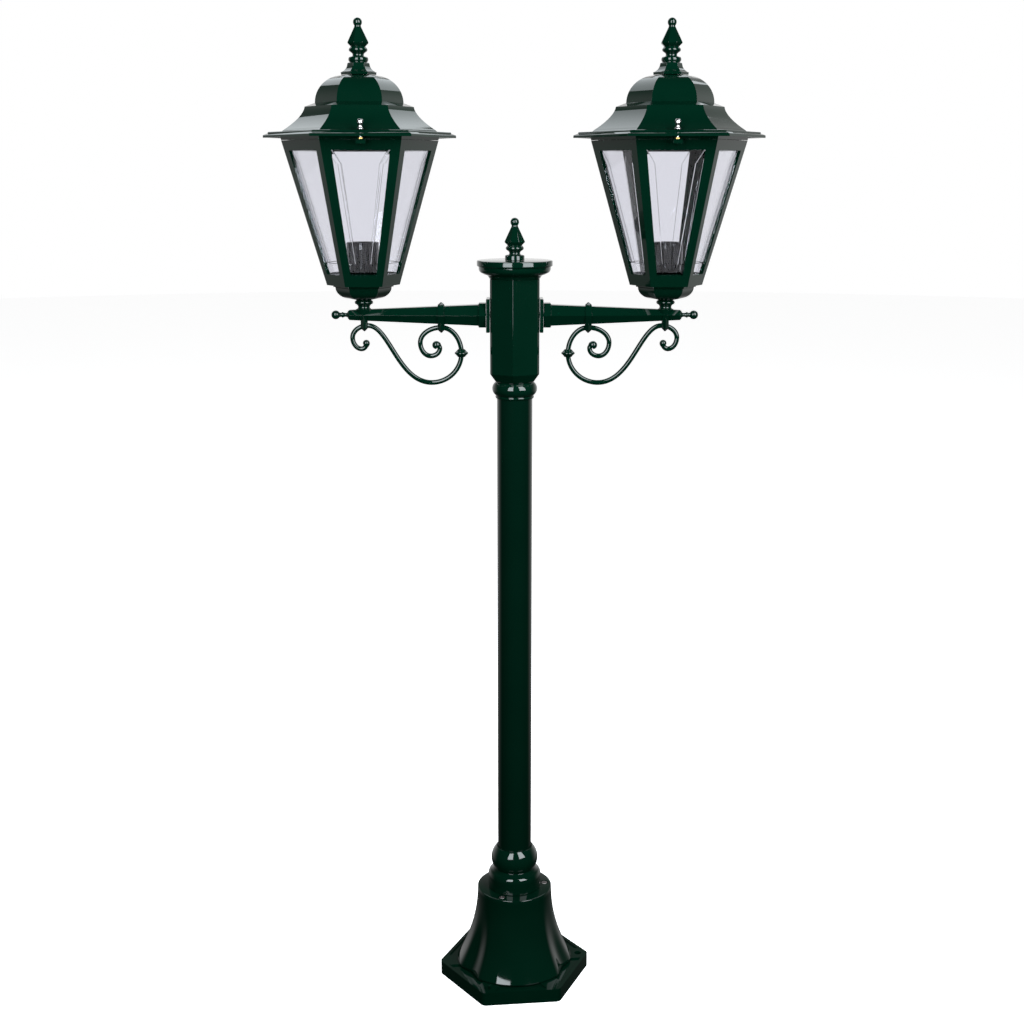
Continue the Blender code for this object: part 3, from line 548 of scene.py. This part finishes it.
# %% [markdown]
# ## Finials
# All three finials share one spear: a turned ball, a cone with eight flat sides, and a turned stalk. On
# the lanterns it stands on a flared six-sided skirt. All of them are spins, in many steps, eight or six.

# %% Finials
def spear_pieces(name, ring_z, foot, place, body, node):
    """Ball and neck, eight-sided cone, then the turned ring, waist and drum."""
    ball = arc((0.0, ring_z + 37.4), (6.4, 6.4), 90, -44, 14)
    ball[0] = (0.0, ring_z + 43.8)
    ball += [(4.7, ring_z + 32.4), (5.0, ring_z + 30.6), (0.0, ring_z + 30.6)]
    dress(to_object(name + "_ball", spun(ball, 48), place), CAST_PAINT, body, node, edge=0.15)

    cone = [(0.0, ring_z + 31.6), (4.9, ring_z + 31.4), (5.6, ring_z + 30.4), (16.2, ring_z + 9.6),
            (15.6, ring_z + 8.4), (11.4, ring_z + 4.6), (0.0, ring_z + 4.6)]
    dress(to_object(name + "_cone", spun(cone, 8, start=pi / 8), place), CAST_PAINT, body, None,
          edge=0.6, rounds=3)

    stalk = [(0.0, ring_z + 5.0), (10.4, ring_z + 4.8)]
    stalk += arc((11.0, ring_z), (2.3, 2.6), 55, -55, 7)
    stalk += arc((13.6, ring_z - 6.8), (5.6, 4.0), 128, 214, 8)
    stalk += [(12.4, ring_z - 9.6)] + foot
    dress(to_object(name + "_stalk", spun(stalk, 64), place), CAST_PAINT, body, None, edge=0.2)


def make_hub_finial():
    low, high = span("hub_finial")
    ring_z = high.z - 43.8
    foot = arc((12.9, ring_z - 11.4), (1.4, 1.4), 80, 0, 4) + [(14.3, low.z), (0.0, low.z)]
    spear_pieces("hub_spear", ring_z, foot, Matrix.Identity(4), "post", "hub_finial")


def make_roof_finial(side):
    node = side + "_roof_finial"
    low, high = span(node)
    ring_z = high.z - 43.8
    body = side + "_lid"
    foot = arc((12.4, ring_z - 13.1), (1.8, 3.2), 78, -78, 9)
    foot += [(12.6, ring_z - 16.8), (12.6, ring_z - 17.4), (0.0, ring_z - 17.4)]
    spear_pieces(side + "_spear", ring_z, foot, LANTERN[side], body, node)
    skirt = [(0.0, ring_z - 16.9), (14.6, ring_z - 17.3), (15.7, ring_z - 18.4)]
    skirt += arc((31.6, ring_z - 19.0), (15.6, 12.6), 186, 248, 10)[1:]
    skirt += [(25.2, low.z + 2.2), (25.2, low.z), (0.0, low.z)]
    dress(to_object(side + "_spear_skirt", spun(skirt, 6), LANTERN[side]), CAST_PAINT, body, None,
          edge=0.5, rounds=3)


make_hub_finial()
for side in SIDES:
    make_roof_finial(side)


# %% [markdown]
# ## Arms, plates, clips, knobs and beads
# Flat-sided pieces again keep the frame's faces and gain eased edges. The ball knob and the bead are
# turned. The knob's axis lies along the arm, so its spin is laid over before it is placed.

# %% Arm hardware
def make_arm_pieces(side):
    for node, name, edge in (("_arm_plate", "_mounting_plate", 0.7), ("_arm", "_tapered_arm", 0.9),
                             ("_inner_clip", "_pointed_clip", 0.5),
                             ("_outer_clip", "_saddle_clip", 0.5)):
        dress(refined(side + node, side + name), CAST_PAINT, "post", side + node, edge=edge,
              flat_sided=True)

    low, high = span("right_arm_knob")
    tip, root = high.x, low.x
    knob = arc((0.0, tip - 6.5), (6.5, 6.5), 90, -58, 16)
    knob[0] = (0.0, knob[0][1])
    knob += arc((4.6, tip - 14.6), (1.6, 2.4), 150, 200, 4)
    knob += arc((3.0, tip - 16.6), (1.2, 1.5), 70, -70, 6)
    knob += arc((6.4, tip - 21.0), (3.6, 4.0), 150, 235, 7)
    knob += [(5.9, root + 1.0), (6.4, root), (0.0, root)]
    dress(to_object(side + "_ball_knob", spun(knob, 48), ARM[side] @ ALONG_ARM), CAST_PAINT, "post",
          side + "_arm_knob", edge=0.2)

    bead_low, bead_high = span("right_scroll_bead")
    bead = (bead_low + bead_high) / 2
    half, rim = (bead_high.z - bead_low.z) / 2, (bead_high.x - bead_low.x) / 2
    ring = [(4.7, half), (5.4, half), (6.6, half - 1.6)] + arc((7.0, 0.0), (rim - 7.0, 2.2), 60, 0, 4)
    ring += [(radius, -level) for radius, level in ring[-2::-1]]
    place = ARM[side] @ Matrix.Translation((bead.x / 1000, 0, bead.z / 1000))
    dress(to_object(side + "_bead", spun(ring, 48), place), CAST_PAINT, "post",
          side + "_scroll_bead", edge=0.2)


for side in SIDES:
    make_arm_pieces(side)


# %% [markdown]
# ## Scrolls
# Each scroll is one bar, bent cold round formers, with its ends rolled into little balls. A curve with a
# round bevel makes the bar. Its centre line is quarter ellipses between the points where the bar runs
# level or upright, and one cubic for the long S. The ends swell by giving the last points a larger
# radius, so bar and ball stay one unbroken skin.

# %% Scroll bars
ROD = 3.7
INNER_BALL = 6.1
OUTER_BALL = 5.3


def quarter(start, end, leaves_level, steps):
    points = []
    for i in range(1, steps + 1):
        swing = pi / 2 * i / steps
        fast, slow = sin(swing), 1.0 - cos(swing)
        across, rise = (fast, slow) if leaves_level else (slow, fast)
        points.append(Vector((start.x + (end[0] - start.x) * across, 0.0,
                              start.z + (end[1] - start.z) * rise)))
    return points


def scroll_line():
    """Centre line in millimetres, from the inner volute to the outer one."""
    line = [Vector((116.2, 0.0, 1024.4))]
    for point, leaves_level, steps in (((111.0, 1019.8), True, 8), ((124.5, 1008.2), False, 12),
                                       ((139.9, 1028.0), True, 14), ((108.5, 1050.4), False, 18),
                                       ((79.0, 1012.5), True, 22), ((123.5, 968.6), False, 24)):
        line += quarter(line[-1], point, leaves_level, steps)
    bow, crest = line[-1].copy(), Vector((216.5, 0.0, 1053.2))
    reach, lead = Vector((50.0, 0.0, 0.0)), Vector((31.0, 0.0, 0.0))
    for i in range(1, 37):
        t = i / 36
        line.append(bow * (1 - t) ** 3 + (bow + reach) * 3 * t * (1 - t) ** 2
                    + (crest - lead) * 3 * t * t * (1 - t) + crest * t ** 3)
    for point, leaves_level, steps in (((240.0, 1035.5), True, 14), ((227.0, 1018.8), False, 12),
                                       ((219.8, 1027.0), True, 8)):
        line += quarter(line[-1], point, leaves_level, steps)
    return line


def rolled_end(line, ball):
    """Points past and before the line's start that swell the bar into a ball."""
    heading = (line[0] - line[1]).normalized()
    points = []
    for i in range(12):
        angle = radians(4 + 86 * i / 11)
        points.append((line[0] + heading * ball * cos(angle), ball * sin(angle) / ROD))
    return points


def swell_bar(route, indices, ball):
    """Widen the bar where it runs inside the ball at its end; indices lead away from the ball."""
    travelled = 0.0
    for i in indices:
        travelled += (route[i][0] - route[i - indices.step][0]).length
        if travelled < ball:
            route[i] = (route[i][0], max(1.0, sqrt(ball ** 2 - travelled ** 2) / ROD))


def make_scroll(side):
    line = scroll_line()
    start = rolled_end(line, INNER_BALL)
    finish = rolled_end(line[::-1], OUTER_BALL)
    route = start + [(point, 1.0) for point in line[1:-1]] + finish[::-1]
    first, last = len(start), len(route) - len(finish) - 1
    swell_bar(route, range(first, last + 1, 1), INNER_BALL)
    swell_bar(route, range(last, first, -1), OUTER_BALL)

    curve = bpy.data.curves.new(side + "_scroll_bar", "CURVE")
    curve.dimensions = "3D"
    curve.bevel_depth = ROD / 1000
    curve.bevel_resolution = 6
    curve.use_fill_caps = True
    spline = curve.splines.new("POLY")
    spline.points.add(len(route) - 1)
    for spot, (point, radius) in zip(spline.points, route):
        spot.co = (*(ARM[side] @ (point / 1000)), 1.0)
        spot.radius = radius
    guide = bpy.data.objects.new("guide", curve)
    bpy.context.scene.collection.objects.link(guide)
    graph = bpy.context.evaluated_depsgraph_get()
    bm = bmesh.new()
    bm.from_mesh(bpy.data.meshes.new_from_object(guide.evaluated_get(graph)))
    bpy.data.objects.remove(guide)
    bmesh.ops.remove_doubles(bm, verts=bm.verts, dist=1e-6)
    bmesh.ops.recalc_face_normals(bm, faces=bm.faces)
    dress(to_object(side + "_scroll_bar", bm), CAST_PAINT, "post", side + "_scroll", edge=0)


for side in SIDES:
    make_scroll(side)


# %% [markdown]
# ## Lantern stems and bowls
# The stem is a turned baluster with a saddle that sits over the ridge of the arm, so its lower end is cut
# with the arm's own hexagon. The bowl is six-sided: the same spin in six steps, with the corner edges
# eased by the bevel.

# %% Stems and bowls
def make_stem(side):
    node = side + "_lantern_stem"
    low, high = span(node)
    bore, top = 4.3, high.z
    stem = [(bore, top), (13.2, top), (11.4, top - 1.1)]
    stem += arc((10.4, top - 4.6), (3.3, 3.0), 78, -78, 10)
    stem += arc((13.6, top - 11.2), (4.9, 3.8), 140, 225, 8)
    stem += [(12.2, top - 14.6), (9.7, low.z), (bore, low.z)]
    piece = to_object(side + "_stem", spun(stem, 64), LANTERN[side])
    centre_x = abs(centre(node).x)
    arm_low, arm_high = span("right_arm")
    root_x, root_r, tip_r = arm_low.x + 11.6, 17.55, 8.5
    gap, reach = 0.35, 22.0

    def bar(x):
        """Corner radius of the arm's hexagon, with the gap, at a distance from the post."""
        return root_r + (tip_r - root_r) * (x - root_x) / (arm_high.x - root_x) + gap

    near, far = centre_x - reach, centre_x + reach
    saddle = spun([(0.0, far), (bar(far), far), (bar(near), near), (0.0, near)], 6, start=pi / 6)
    cutter = to_object("cutter", saddle, ARM[side] @ ALONG_ARM)
    combine(piece, [cutter], "DIFFERENCE")
    dress(piece, CAST_PAINT, "post", node, edge=0.25)


def make_bowl(side):
    node = side + "_lantern_bowl"
    low, high = span(node)
    top, base = high.z, low.z
    bowl = [(35.5, top), (44.1, top), (44.1, top - 2.4), (41.6, top - 2.9)]
    bowl += arc((17.7, top - 3.2), (23.5, top - 3.2 - base), 0, -86, 18)
    bowl += [(17.0, base), (5.2, base), (5.2, base + 3.8), (16.0, base + 3.8)]
    bowl += arc((16.0, top - 3.1), (19.5, 13.3), -80, 0, 10)
    dress(to_object(side + "_bowl", spun(bowl, 6), LANTERN[side]), CAST_PAINT, "post", node,
          edge=0.6, rounds=3)


for side in SIDES:
    make_stem(side)
    make_bowl(side)


# %% [markdown]
# ## Lantern frames
# The frame is die-cast in one piece with six windows. It keeps its solid's faces and gets rounder edges
# than the rest, as a casting has.

# %% Frames
for side in SIDES:
    dress(refined(side + "_lantern_frame", side + "_cage"), CAST_PAINT, "post",
          side + "_lantern_frame", edge=0.9, rounds=3, flat_sided=True)


# %% [markdown]
# ## Bevelled panes
# A pane is a flat slab. Bisecting planes cut lines into it along a crease beside each long edge, along a
# mitre from the top of each crease to the upper corner, and level across the foot. The borders are then
# thinned to make the bevel, and a shallow V groove follows each line, with its flanks in frosted glass
# tinted dark, painted shade that draws each crease as a dark line.

# %% Panes
# In metres, because they act on the node's own mesh.
LAP = 0.004
BORDER = LAP + 0.0094
BEVEL = 0.0010
GROOVE = 0.00045
TICK_RISE = 0.0190
SHOULDER_DROP = 0.0240
RUN_OUT = 0.003


def make_pane(side, number):
    """Bevelled pane, drawn from its own solid so that it fits its window."""
    node = "%s_pane_%d" % (side, number)
    bm = whole_faces(node)
    home = LANTERN[side] @ Matrix.Rotation(radians(60 * (number - 1)), 4, "Z")
    bmesh.ops.transform(bm, matrix=home.inverted(), verts=bm.verts)

    low_z, high_z = min(v.co.z for v in bm.verts), max(v.co.z for v in bm.verts)
    low_half = max(v.co.x for v in bm.verts if v.co.z < low_z + 0.003)
    high_half = max(v.co.x for v in bm.verts if v.co.z > high_z - 0.003)
    run = Vector((high_half - low_half, 0.0, high_z - low_z)).normalized()
    side_out = Vector((run.z, 0.0, -run.x))
    low_corner = Vector((low_half, 0.0, low_z))
    tick, shoulder = low_z + TICK_RISE, high_z - SHOULDER_DROP
    crease_top = low_corner - side_out * BORDER + run * (shoulder - low_z) / run.z
    crease_top.z = shoulder
    mitre = (Vector((high_half - LAP, 0.0, high_z - LAP)) - crease_top).normalized()
    mitre_out = Vector((mitre.z, 0.0, -mitre.x))

    def outside(point):
        """How far a point lies outside the crease, and outside the mitre line."""
        folded = Vector((abs(point.x), 0.0, point.z))
        return ((folded - low_corner).dot(side_out) + BORDER, (folded - crease_top).dot(mitre_out))

    cuts = []
    for shift in (-GROOVE, 0.0, GROOVE):
        for sign in (1, -1):
            mirror = Matrix.Diagonal((sign, 1, 1))
            cuts.append((mirror @ (low_corner - side_out * (BORDER + shift)), mirror @ side_out))
            cuts.append((mirror @ (crease_top + mitre_out * shift), mirror @ mitre_out))
        cuts.append((Vector((0, 0, tick + shift)), UP))
    cuts += [(Vector((0, 0, tick - RUN_OUT)), UP), (Vector((0, 0, shoulder)), UP)]
    for spot, normal in cuts:
        bmesh.ops.bisect_plane(bm, geom=bm.verts[:] + bm.edges[:] + bm.faces[:], plane_co=spot,
                               plane_no=normal, dist=1e-7)

    lean = max(bm.faces, key=lambda f: -f.normal.y).normal.copy()
    full = outside(low_corner + run * (shoulder - low_z) / run.z)[1]
    for vert in {v for f in bm.faces if f.normal.dot(lean) > 0.99 for v in f.verts}:
        past_crease, past_mitre = outside(vert.co)
        thin = BEVEL * max(past_crease, 0.0) / BORDER
        if vert.co.z > shoulder:
            thin = min(thin, BEVEL * max(past_mitre, 0.0) / full)
        thin *= min(1.0, max(0.0, (vert.co.z - tick) / RUN_OUT + 1.0))
        on_crease = abs(past_crease) < 1e-5 and tick <= vert.co.z <= shoulder
        on_mitre = abs(past_mitre) < 1e-5 and vert.co.z >= shoulder
        on_tick = abs(vert.co.z - tick) < 1e-5 and past_crease > -0.001
        if on_crease or on_mitre or on_tick:
            thin += GROOVE * 0.9
        vert.co -= lean * thin
    bm.normal_update()
    bmesh.ops.triangulate(bm, faces=[f for f in bm.faces if f.normal.dot(lean) > 0.3])
    bm.normal_update()
    for face in bm.faces:
        # Groove flanks get the second material, the dark tinted glass that paints the crease lines as shade.
        face.material_index = 1 if 0.3 < face.normal.dot(lean) < 0.93 else 0
    bmesh.ops.transform(bm, matrix=home, verts=bm.verts)
    bmesh.ops.recalc_face_normals(bm, faces=bm.faces)
    pane = to_object("%s_glass_%d" % (side, number), bm)
    dress(pane, GLASS, "post", node, edge=0)
    # Second slot: dark tinted glass, painted shade for the crease lines.
    pane.data.materials.append(CREASE_LINE_SHADE_GLASS)
    pane.data.shade_flat()


for side in SIDES:
    for number in range(1, 7):
        make_pane(side, number)


# %% [markdown]
# ## Roofs
# The roof is an ogee: a small dome above a ledge, then a hollow skirt running out to a wide flat eave with
# a stepped edge. It is a shell, so its profile goes down the outside and back up the inside. Six steps of
# spin give the six faces, and a knuckle for the hinge is joined on at the back.

# %% Roof shell
def make_roof(side):
    node = side + "_roof"
    low, high = span("right_roof")
    eave_r, top = (high.x - low.x) / 2, span(node)[1].z
    hinge = roof_hinge(side)
    hinge_z = hinge["pos_m"][2] * 1000
    eave = hinge_z + 8.3

    skirt_top, skirt_foot = (77.8, top - 43.5), (108.3, top - 75.5)
    skirt = []
    for i in range(20):
        t = i / 19
        skirt.append((skirt_top[0] + (skirt_foot[0] - skirt_top[0]) * t ** 1.65,
                      skirt_top[1] + (skirt_foot[1] - skirt_top[1]) * t))
    outer = [(8.0, top)] + arc((22.0, top - 38.3), (41.0, 38.0), 84, 0, 22) + skirt
    outer += [(110.6, top - 77.4), (112.4, top - 78.1), (130.2, top - 78.5), (131.0, top - 79.2),
              (131.0, top - 80.4), (eave_r - 0.7, top - 82.8), (eave_r, top - 83.5), (eave_r, eave)]
    inner = [(133.5, eave), (132.0, eave + 3.7), (114.6, eave + 4.9), (112.3, eave - 3.3),
             (105.0, eave - 3.3), (101.5, eave + 10.3), (90.0, eave + 18.3), (80.0, eave + 28.3),
             (74.5, eave + 39.8), (59.5, eave + 44.8), (57.5, eave + 58.3), (45.0, eave + 74.3),
             (22.0, eave + 82.8), (8.0, top - 3.1)]
    shell = to_object(side + "_roof_shell", spun(outer + inner, 6), LANTERN[side])

    back = LANTERN[side].inverted() @ Vector(hinge["pos_m"]) * 1000
    swing = LANTERN[side] @ Matrix.Translation((0, back.y / 1000, hinge_z / 1000))
    barrel = cylinder(4.2, -6.9, 6.9, swing @ Matrix.Rotation(pi / 2, 4, "Y"))
    bm = bmesh.new()
    bmesh.ops.create_cube(bm, size=1.0, matrix=swing @ Matrix.Translation((0, -0.0025, 0.0052))
                          @ Matrix.Diagonal((0.0138, 0.013, 0.0104, 1.0)))
    web = to_object("web", bm)
    combine(shell, [web, barrel], "UNION")
    bore = cylinder(2.1, -20.0, 20.0, swing @ Matrix.Rotation(pi / 2, 4, "Y"))
    screw = LANTERN[side].inverted() @ (centre(side + "_roof_screw") / 1000)
    hole = cylinder(3.0, eave - 2.0, eave + 20.0,
                    LANTERN[side] @ Matrix.Translation((screw.x, screw.y, 0)))
    combine(shell, [bore, hole], "DIFFERENCE")
    dress(shell, CAST_PAINT, side + "_lid", node, edge=0.6, rounds=3)


for side in SIDES:
    make_roof(side)


# %% [markdown]
# ## Thumb screws and hinge pins
# Two small bright parts say how the roof opens. The thumb screw has a domed, knurled head on a neck; the
# knurl is made by pushing in every other column of vertices on the head's side.

# %% Bright hardware
def make_thumb_screw(side):
    node = side + "_roof_screw"
    low, high = span(node)
    top, tip = high.z, low.z
    shoulder = top - 14.3
    screw = arc((0.0, top - 3.9), (4.4, 3.9), 90, 8, 9)
    screw[0] = (0.0, top)
    screw += [(4.4, top - 4.4), (4.4, top - 6.6), (4.0, top - 7.3), (3.1, top - 7.6),
              (3.1, shoulder + 1.8), (4.6, shoulder + 1.4), (4.6, shoulder), (2.0, shoulder)]
    turns = 12
    pitch = (shoulder - 1.0 - tip - 1.4) / turns
    for i in range(turns):
        crest = shoulder - 1.0 - pitch * i
        screw += [(2.0, crest), (1.65, crest - pitch / 2)]
    screw += [(2.0, tip + 1.4), (1.2, tip), (0.0, tip)]
    bm = spun(screw, 48)
    for vert in bm.verts:
        column = round(atan2(vert.co.y, vert.co.x) / (2 * pi) * 48)
        if column % 2 and top - 7.0 < vert.co.z * 1000 < top - 4.2:
            vert.co.x *= 0.955
            vert.co.y *= 0.955
    middle = centre(node) / 1000
    spot = Matrix.Translation((middle.x, middle.y, 0))
    dress(to_object(side + "_thumb_screw", bm, spot), BRIGHT, side + "_thumbscrew", node,
          edge=0)

    # A pressed-in bush lines the hole in the frame's lug and stands a little above it.
    rest = span(side + "_lantern_frame")[1].z
    bush = [(2.4, rest + 2.6), (3.2, rest + 2.8), (4.3, rest + 2.2), (4.5, rest + 0.1),
            (2.9, rest + 0.1), (2.9, rest - 5.6), (2.4, rest - 5.6)]
    dress(to_object(side + "_lug_bush", spun(bush, 32), spot), BRASS, "post", None,
          edge=0.2)


def make_hinge_pin(side):
    hinge = roof_hinge(side)
    pin = arc((0.0, 12.3), (3.0, 1.3), 90, 0, 6)
    pin[0] = (0.0, 13.6)
    pin += [(1.8, 12.3), (1.8, -13.2), (1.4, -13.6), (0.0, -13.6)]
    middle = LANTERN[side].inverted() @ Vector(hinge["pos_m"])
    place = LANTERN[side] @ Matrix.Translation(middle) @ Matrix.Rotation(pi / 2, 4, "Y")
    dress(to_object(side + "_pin", spun(pin, 32), place), BRIGHT, "post", side + "_hinge_pin",
          edge=0.15)


for side in SIDES:
    make_thumb_screw(side)
    make_hinge_pin(side)


# %% [markdown]
# ## Lampholders
# The lampholder is a moulded cup with a thick lip. Inside it sits a brass shell rolled into the round
# thread of a lamp cap. Its waves are a sine in the profile, which is how rolled threads look in section.

# %% Lampholder and brass shell
def make_lampholder(side):
    node = side + "_lampholder"
    low, high = span(node)
    top, base, bore = high.z, low.z, 4.3
    cup = [(18.4, top - 0.8), (19.2, top), (20.7, top), (21.5, top - 0.8), (21.5, top - 32.8),
           (21.0, top - 33.9), (21.0, top - 34.8), (21.3, top - 35.5)]
    cup += arc((10.5, top - 37.0), (10.4, top - 37.6 - base), 0, -80, 12)
    cup += [(12.0, base), (bore, base), (bore, base + 17.6), (17.2, base + 19.6),
            (18.4, base + 25.6)]
    dress(to_object(side + "_cup", spun(cup, 96), LANTERN[side]), PHENOLIC, "post", node,
          edge=0.25)

    node = side + "_lamp_socket"
    low, high = span(node)
    top, base = high.z, low.z
    rows = 36
    waves = [0.45 * sin(2 * pi * i / 9) for i in range(rows + 1)]
    levels = [top - (top - base - 4.0) * i / rows for i in range(rows + 1)]
    outer = [(14.1 + wave, z) for wave, z in zip(waves, levels)]
    inner = [(13.6 + wave, z) for wave, z in zip(waves, levels)][::-1]
    shell = outer + [(13.8, base), (3.0, base), (3.0, base + 0.6), (13.2, base + 0.6)] + inner
    dress(to_object(side + "_thread_shell", spun(shell, 64), LANTERN[side]), BRASS, "post", node,
          edge=0)


for side in SIDES:
    make_lampholder(side)


# %% [markdown]
# ## Floor
# The floor is plain, pale and glows by itself. It is left out of reflections and bounced light, so it
# doesn't lighten the paint.

# %% Floor
floor_mesh = bmesh.new()
bmesh.ops.create_circle(floor_mesh, cap_ends=True, segments=96, radius=14.0,
                        matrix=Matrix.Translation((0, 0, -0.0004)))
floor = to_object("studio_floor", floor_mesh)
floor_material, floor_nodes, floor_links, floor_shader = new_material("pale floor")
tint = remap(floor_nodes, floor_links, noise(floor_nodes, floor_links, 3.0), 0.0, 1.0)
floor_links.new(blend_colours(floor_nodes, floor_links, tint, (0.90, 0.90, 0.90), (0.92, 0.92, 0.92)),
                floor_shader.inputs["Base Color"])
floor_shader.inputs["Roughness"].default_value = 0.9
floor_shader.inputs["Emission Color"].default_value = (1.0, 1.0, 1.0, 1.0)
floor_shader.inputs["Emission Strength"].default_value = 0.9
floor.data.materials.append(floor_material)
floor.visible_glossy = False
floor.visible_diffuse = False


# %% [markdown]
# ## Studio world
# Dark gloss paint shows almost nothing but reflections. So reflected rays see a world that is dim in
# front, brightens towards the back, and fades overhead and underfoot. Rays from the camera, and those
# that only pass through glass, see plain white.

# %% Studio world
def sky_node(kind, **values):
    node = sky.nodes.new(kind)
    for socket, value in values.items():
        node.inputs[socket.replace("_", " ")].default_value = value
    return node


def sky_ramp(source, from_min, from_max, to_min, to_max):
    ramp = sky_node("ShaderNodeMapRange", From_Min=from_min, From_Max=from_max, To_Min=to_min,
                    To_Max=to_max)
    ramp.interpolation_type = "SMOOTHSTEP"
    sky.links.new(source, ramp.inputs["Value"])
    return ramp.outputs["Result"]


def sky_math(operation, first, second):
    node = sky_node("ShaderNodeMath")
    node.operation = operation
    sky.links.new(first, node.inputs[0])
    if isinstance(second, float):
        node.inputs[1].default_value = second
    else:
        sky.links.new(second, node.inputs[1])
    return node.outputs["Value"]


world = bpy.data.worlds.new("studio")
bpy.context.scene.world = world
world.use_nodes = True
sky = world.node_tree
sky.nodes.clear()
WHITE = (1.0, 1.0, 1.0, 1.0)
direction = sky_node("ShaderNodeTexCoord")
split = sky_node("ShaderNodeSeparateXYZ")
sky.links.new(direction.outputs["Generated"], split.inputs["Vector"])
behind = sky_ramp(split.outputs["Y"], 0.0, 1.0, 0.008, 1.0)
overhead = sky_ramp(split.outputs["Z"], 0.08, 0.55, 0.95, 0.10)
underfoot = sky_ramp(split.outputs["Z"], -0.50, -0.12, 0.05, 1.0)
glow = sky_math("MULTIPLY", overhead, underfoot)
studio = sky_node("ShaderNodeBackground", Color=WHITE)
sky.links.new(sky_math("MULTIPLY", behind, glow), studio.inputs["Strength"])
backdrop = sky_node("ShaderNodeBackground", Color=WHITE, Strength=1.0)
rays = sky_node("ShaderNodeLightPath")
unmirrored = sky_math("LESS_THAN", rays.outputs["Glossy Depth"], 0.5)
through_glass = sky_math("MULTIPLY", rays.outputs["Is Transmission Ray"], unmirrored)
seen = sky_math("MAXIMUM", rays.outputs["Is Camera Ray"], through_glass)
choose = sky_node("ShaderNodeMixShader")
sky.links.new(seen, choose.inputs["Fac"])
sky.links.new(studio.outputs["Background"], choose.inputs[1])
sky.links.new(backdrop.outputs["Background"], choose.inputs[2])
sky_output = sky_node("ShaderNodeOutputWorld")
sky.links.new(choose.outputs["Shader"], sky_output.inputs["Surface"])


# %% [markdown]
# ## Soft boxes
# Two upright windows in front give the pairs of highlights on every turned piece. A dim panel overhead
# and behind lifts the roofs' sloping faces.

# %% Soft boxes
def soft_box(name, spot, size, bearing, radiance=10.0):
    """Upright rectangular light of a given radiance, facing the post from a bearing."""
    light = bpy.data.lights.new(name, "AREA")
    light.shape = "RECTANGLE"
    light.size, light.size_y = size
    light.energy = radiance * pi * size[0] * size[1]
    light.color = (0.90, 0.96, 1.0)
    lamp = bpy.data.objects.new(name, light)
    bpy.context.scene.collection.objects.link(lamp)
    lamp.location = spot
    lamp.rotation_euler = (pi / 2, 0.0, bearing)
    lamp.visible_camera = False
    return lamp


RIGHT_BEARING = radians(41.0)
RIGHT_DISTANCE = 2.1
right_x, right_y = RIGHT_DISTANCE * sin(RIGHT_BEARING), -RIGHT_DISTANCE * cos(RIGHT_BEARING)
soft_box("left_window", (-0.80, -1.9, 2.02), (1.06, 2.36), 0.0)
soft_box("right_window", (right_x, right_y, 2.45), (1.2, 2.9), RIGHT_BEARING)
ceiling = soft_box("ceiling_panel", (0.0, 1.7, 2.6), (3.6, 1.6), 0.0, radiance=1.8)
ceiling.rotation_euler = (0.0, 0.0, 0.0)


# %% [markdown]
# ## Camera and finish
# The eye is level with the lanterns' panes and looks down a little.

# %% Camera
TILT_DOWN = 13.2
camera = bpy.data.cameras.new("camera")
camera.lens = 51.0
camera.sensor_width = 36.0
eye = bpy.data.objects.new("camera", camera)
bpy.context.scene.collection.objects.link(eye)
eye.location = (-0.004, -2.15, 1.2745)
eye.rotation_euler = (radians(90.0 - TILT_DOWN), 0.0, 0.0)
bpy.context.scene.camera = eye
bpy.context.scene.view_settings.view_transform = "Standard"
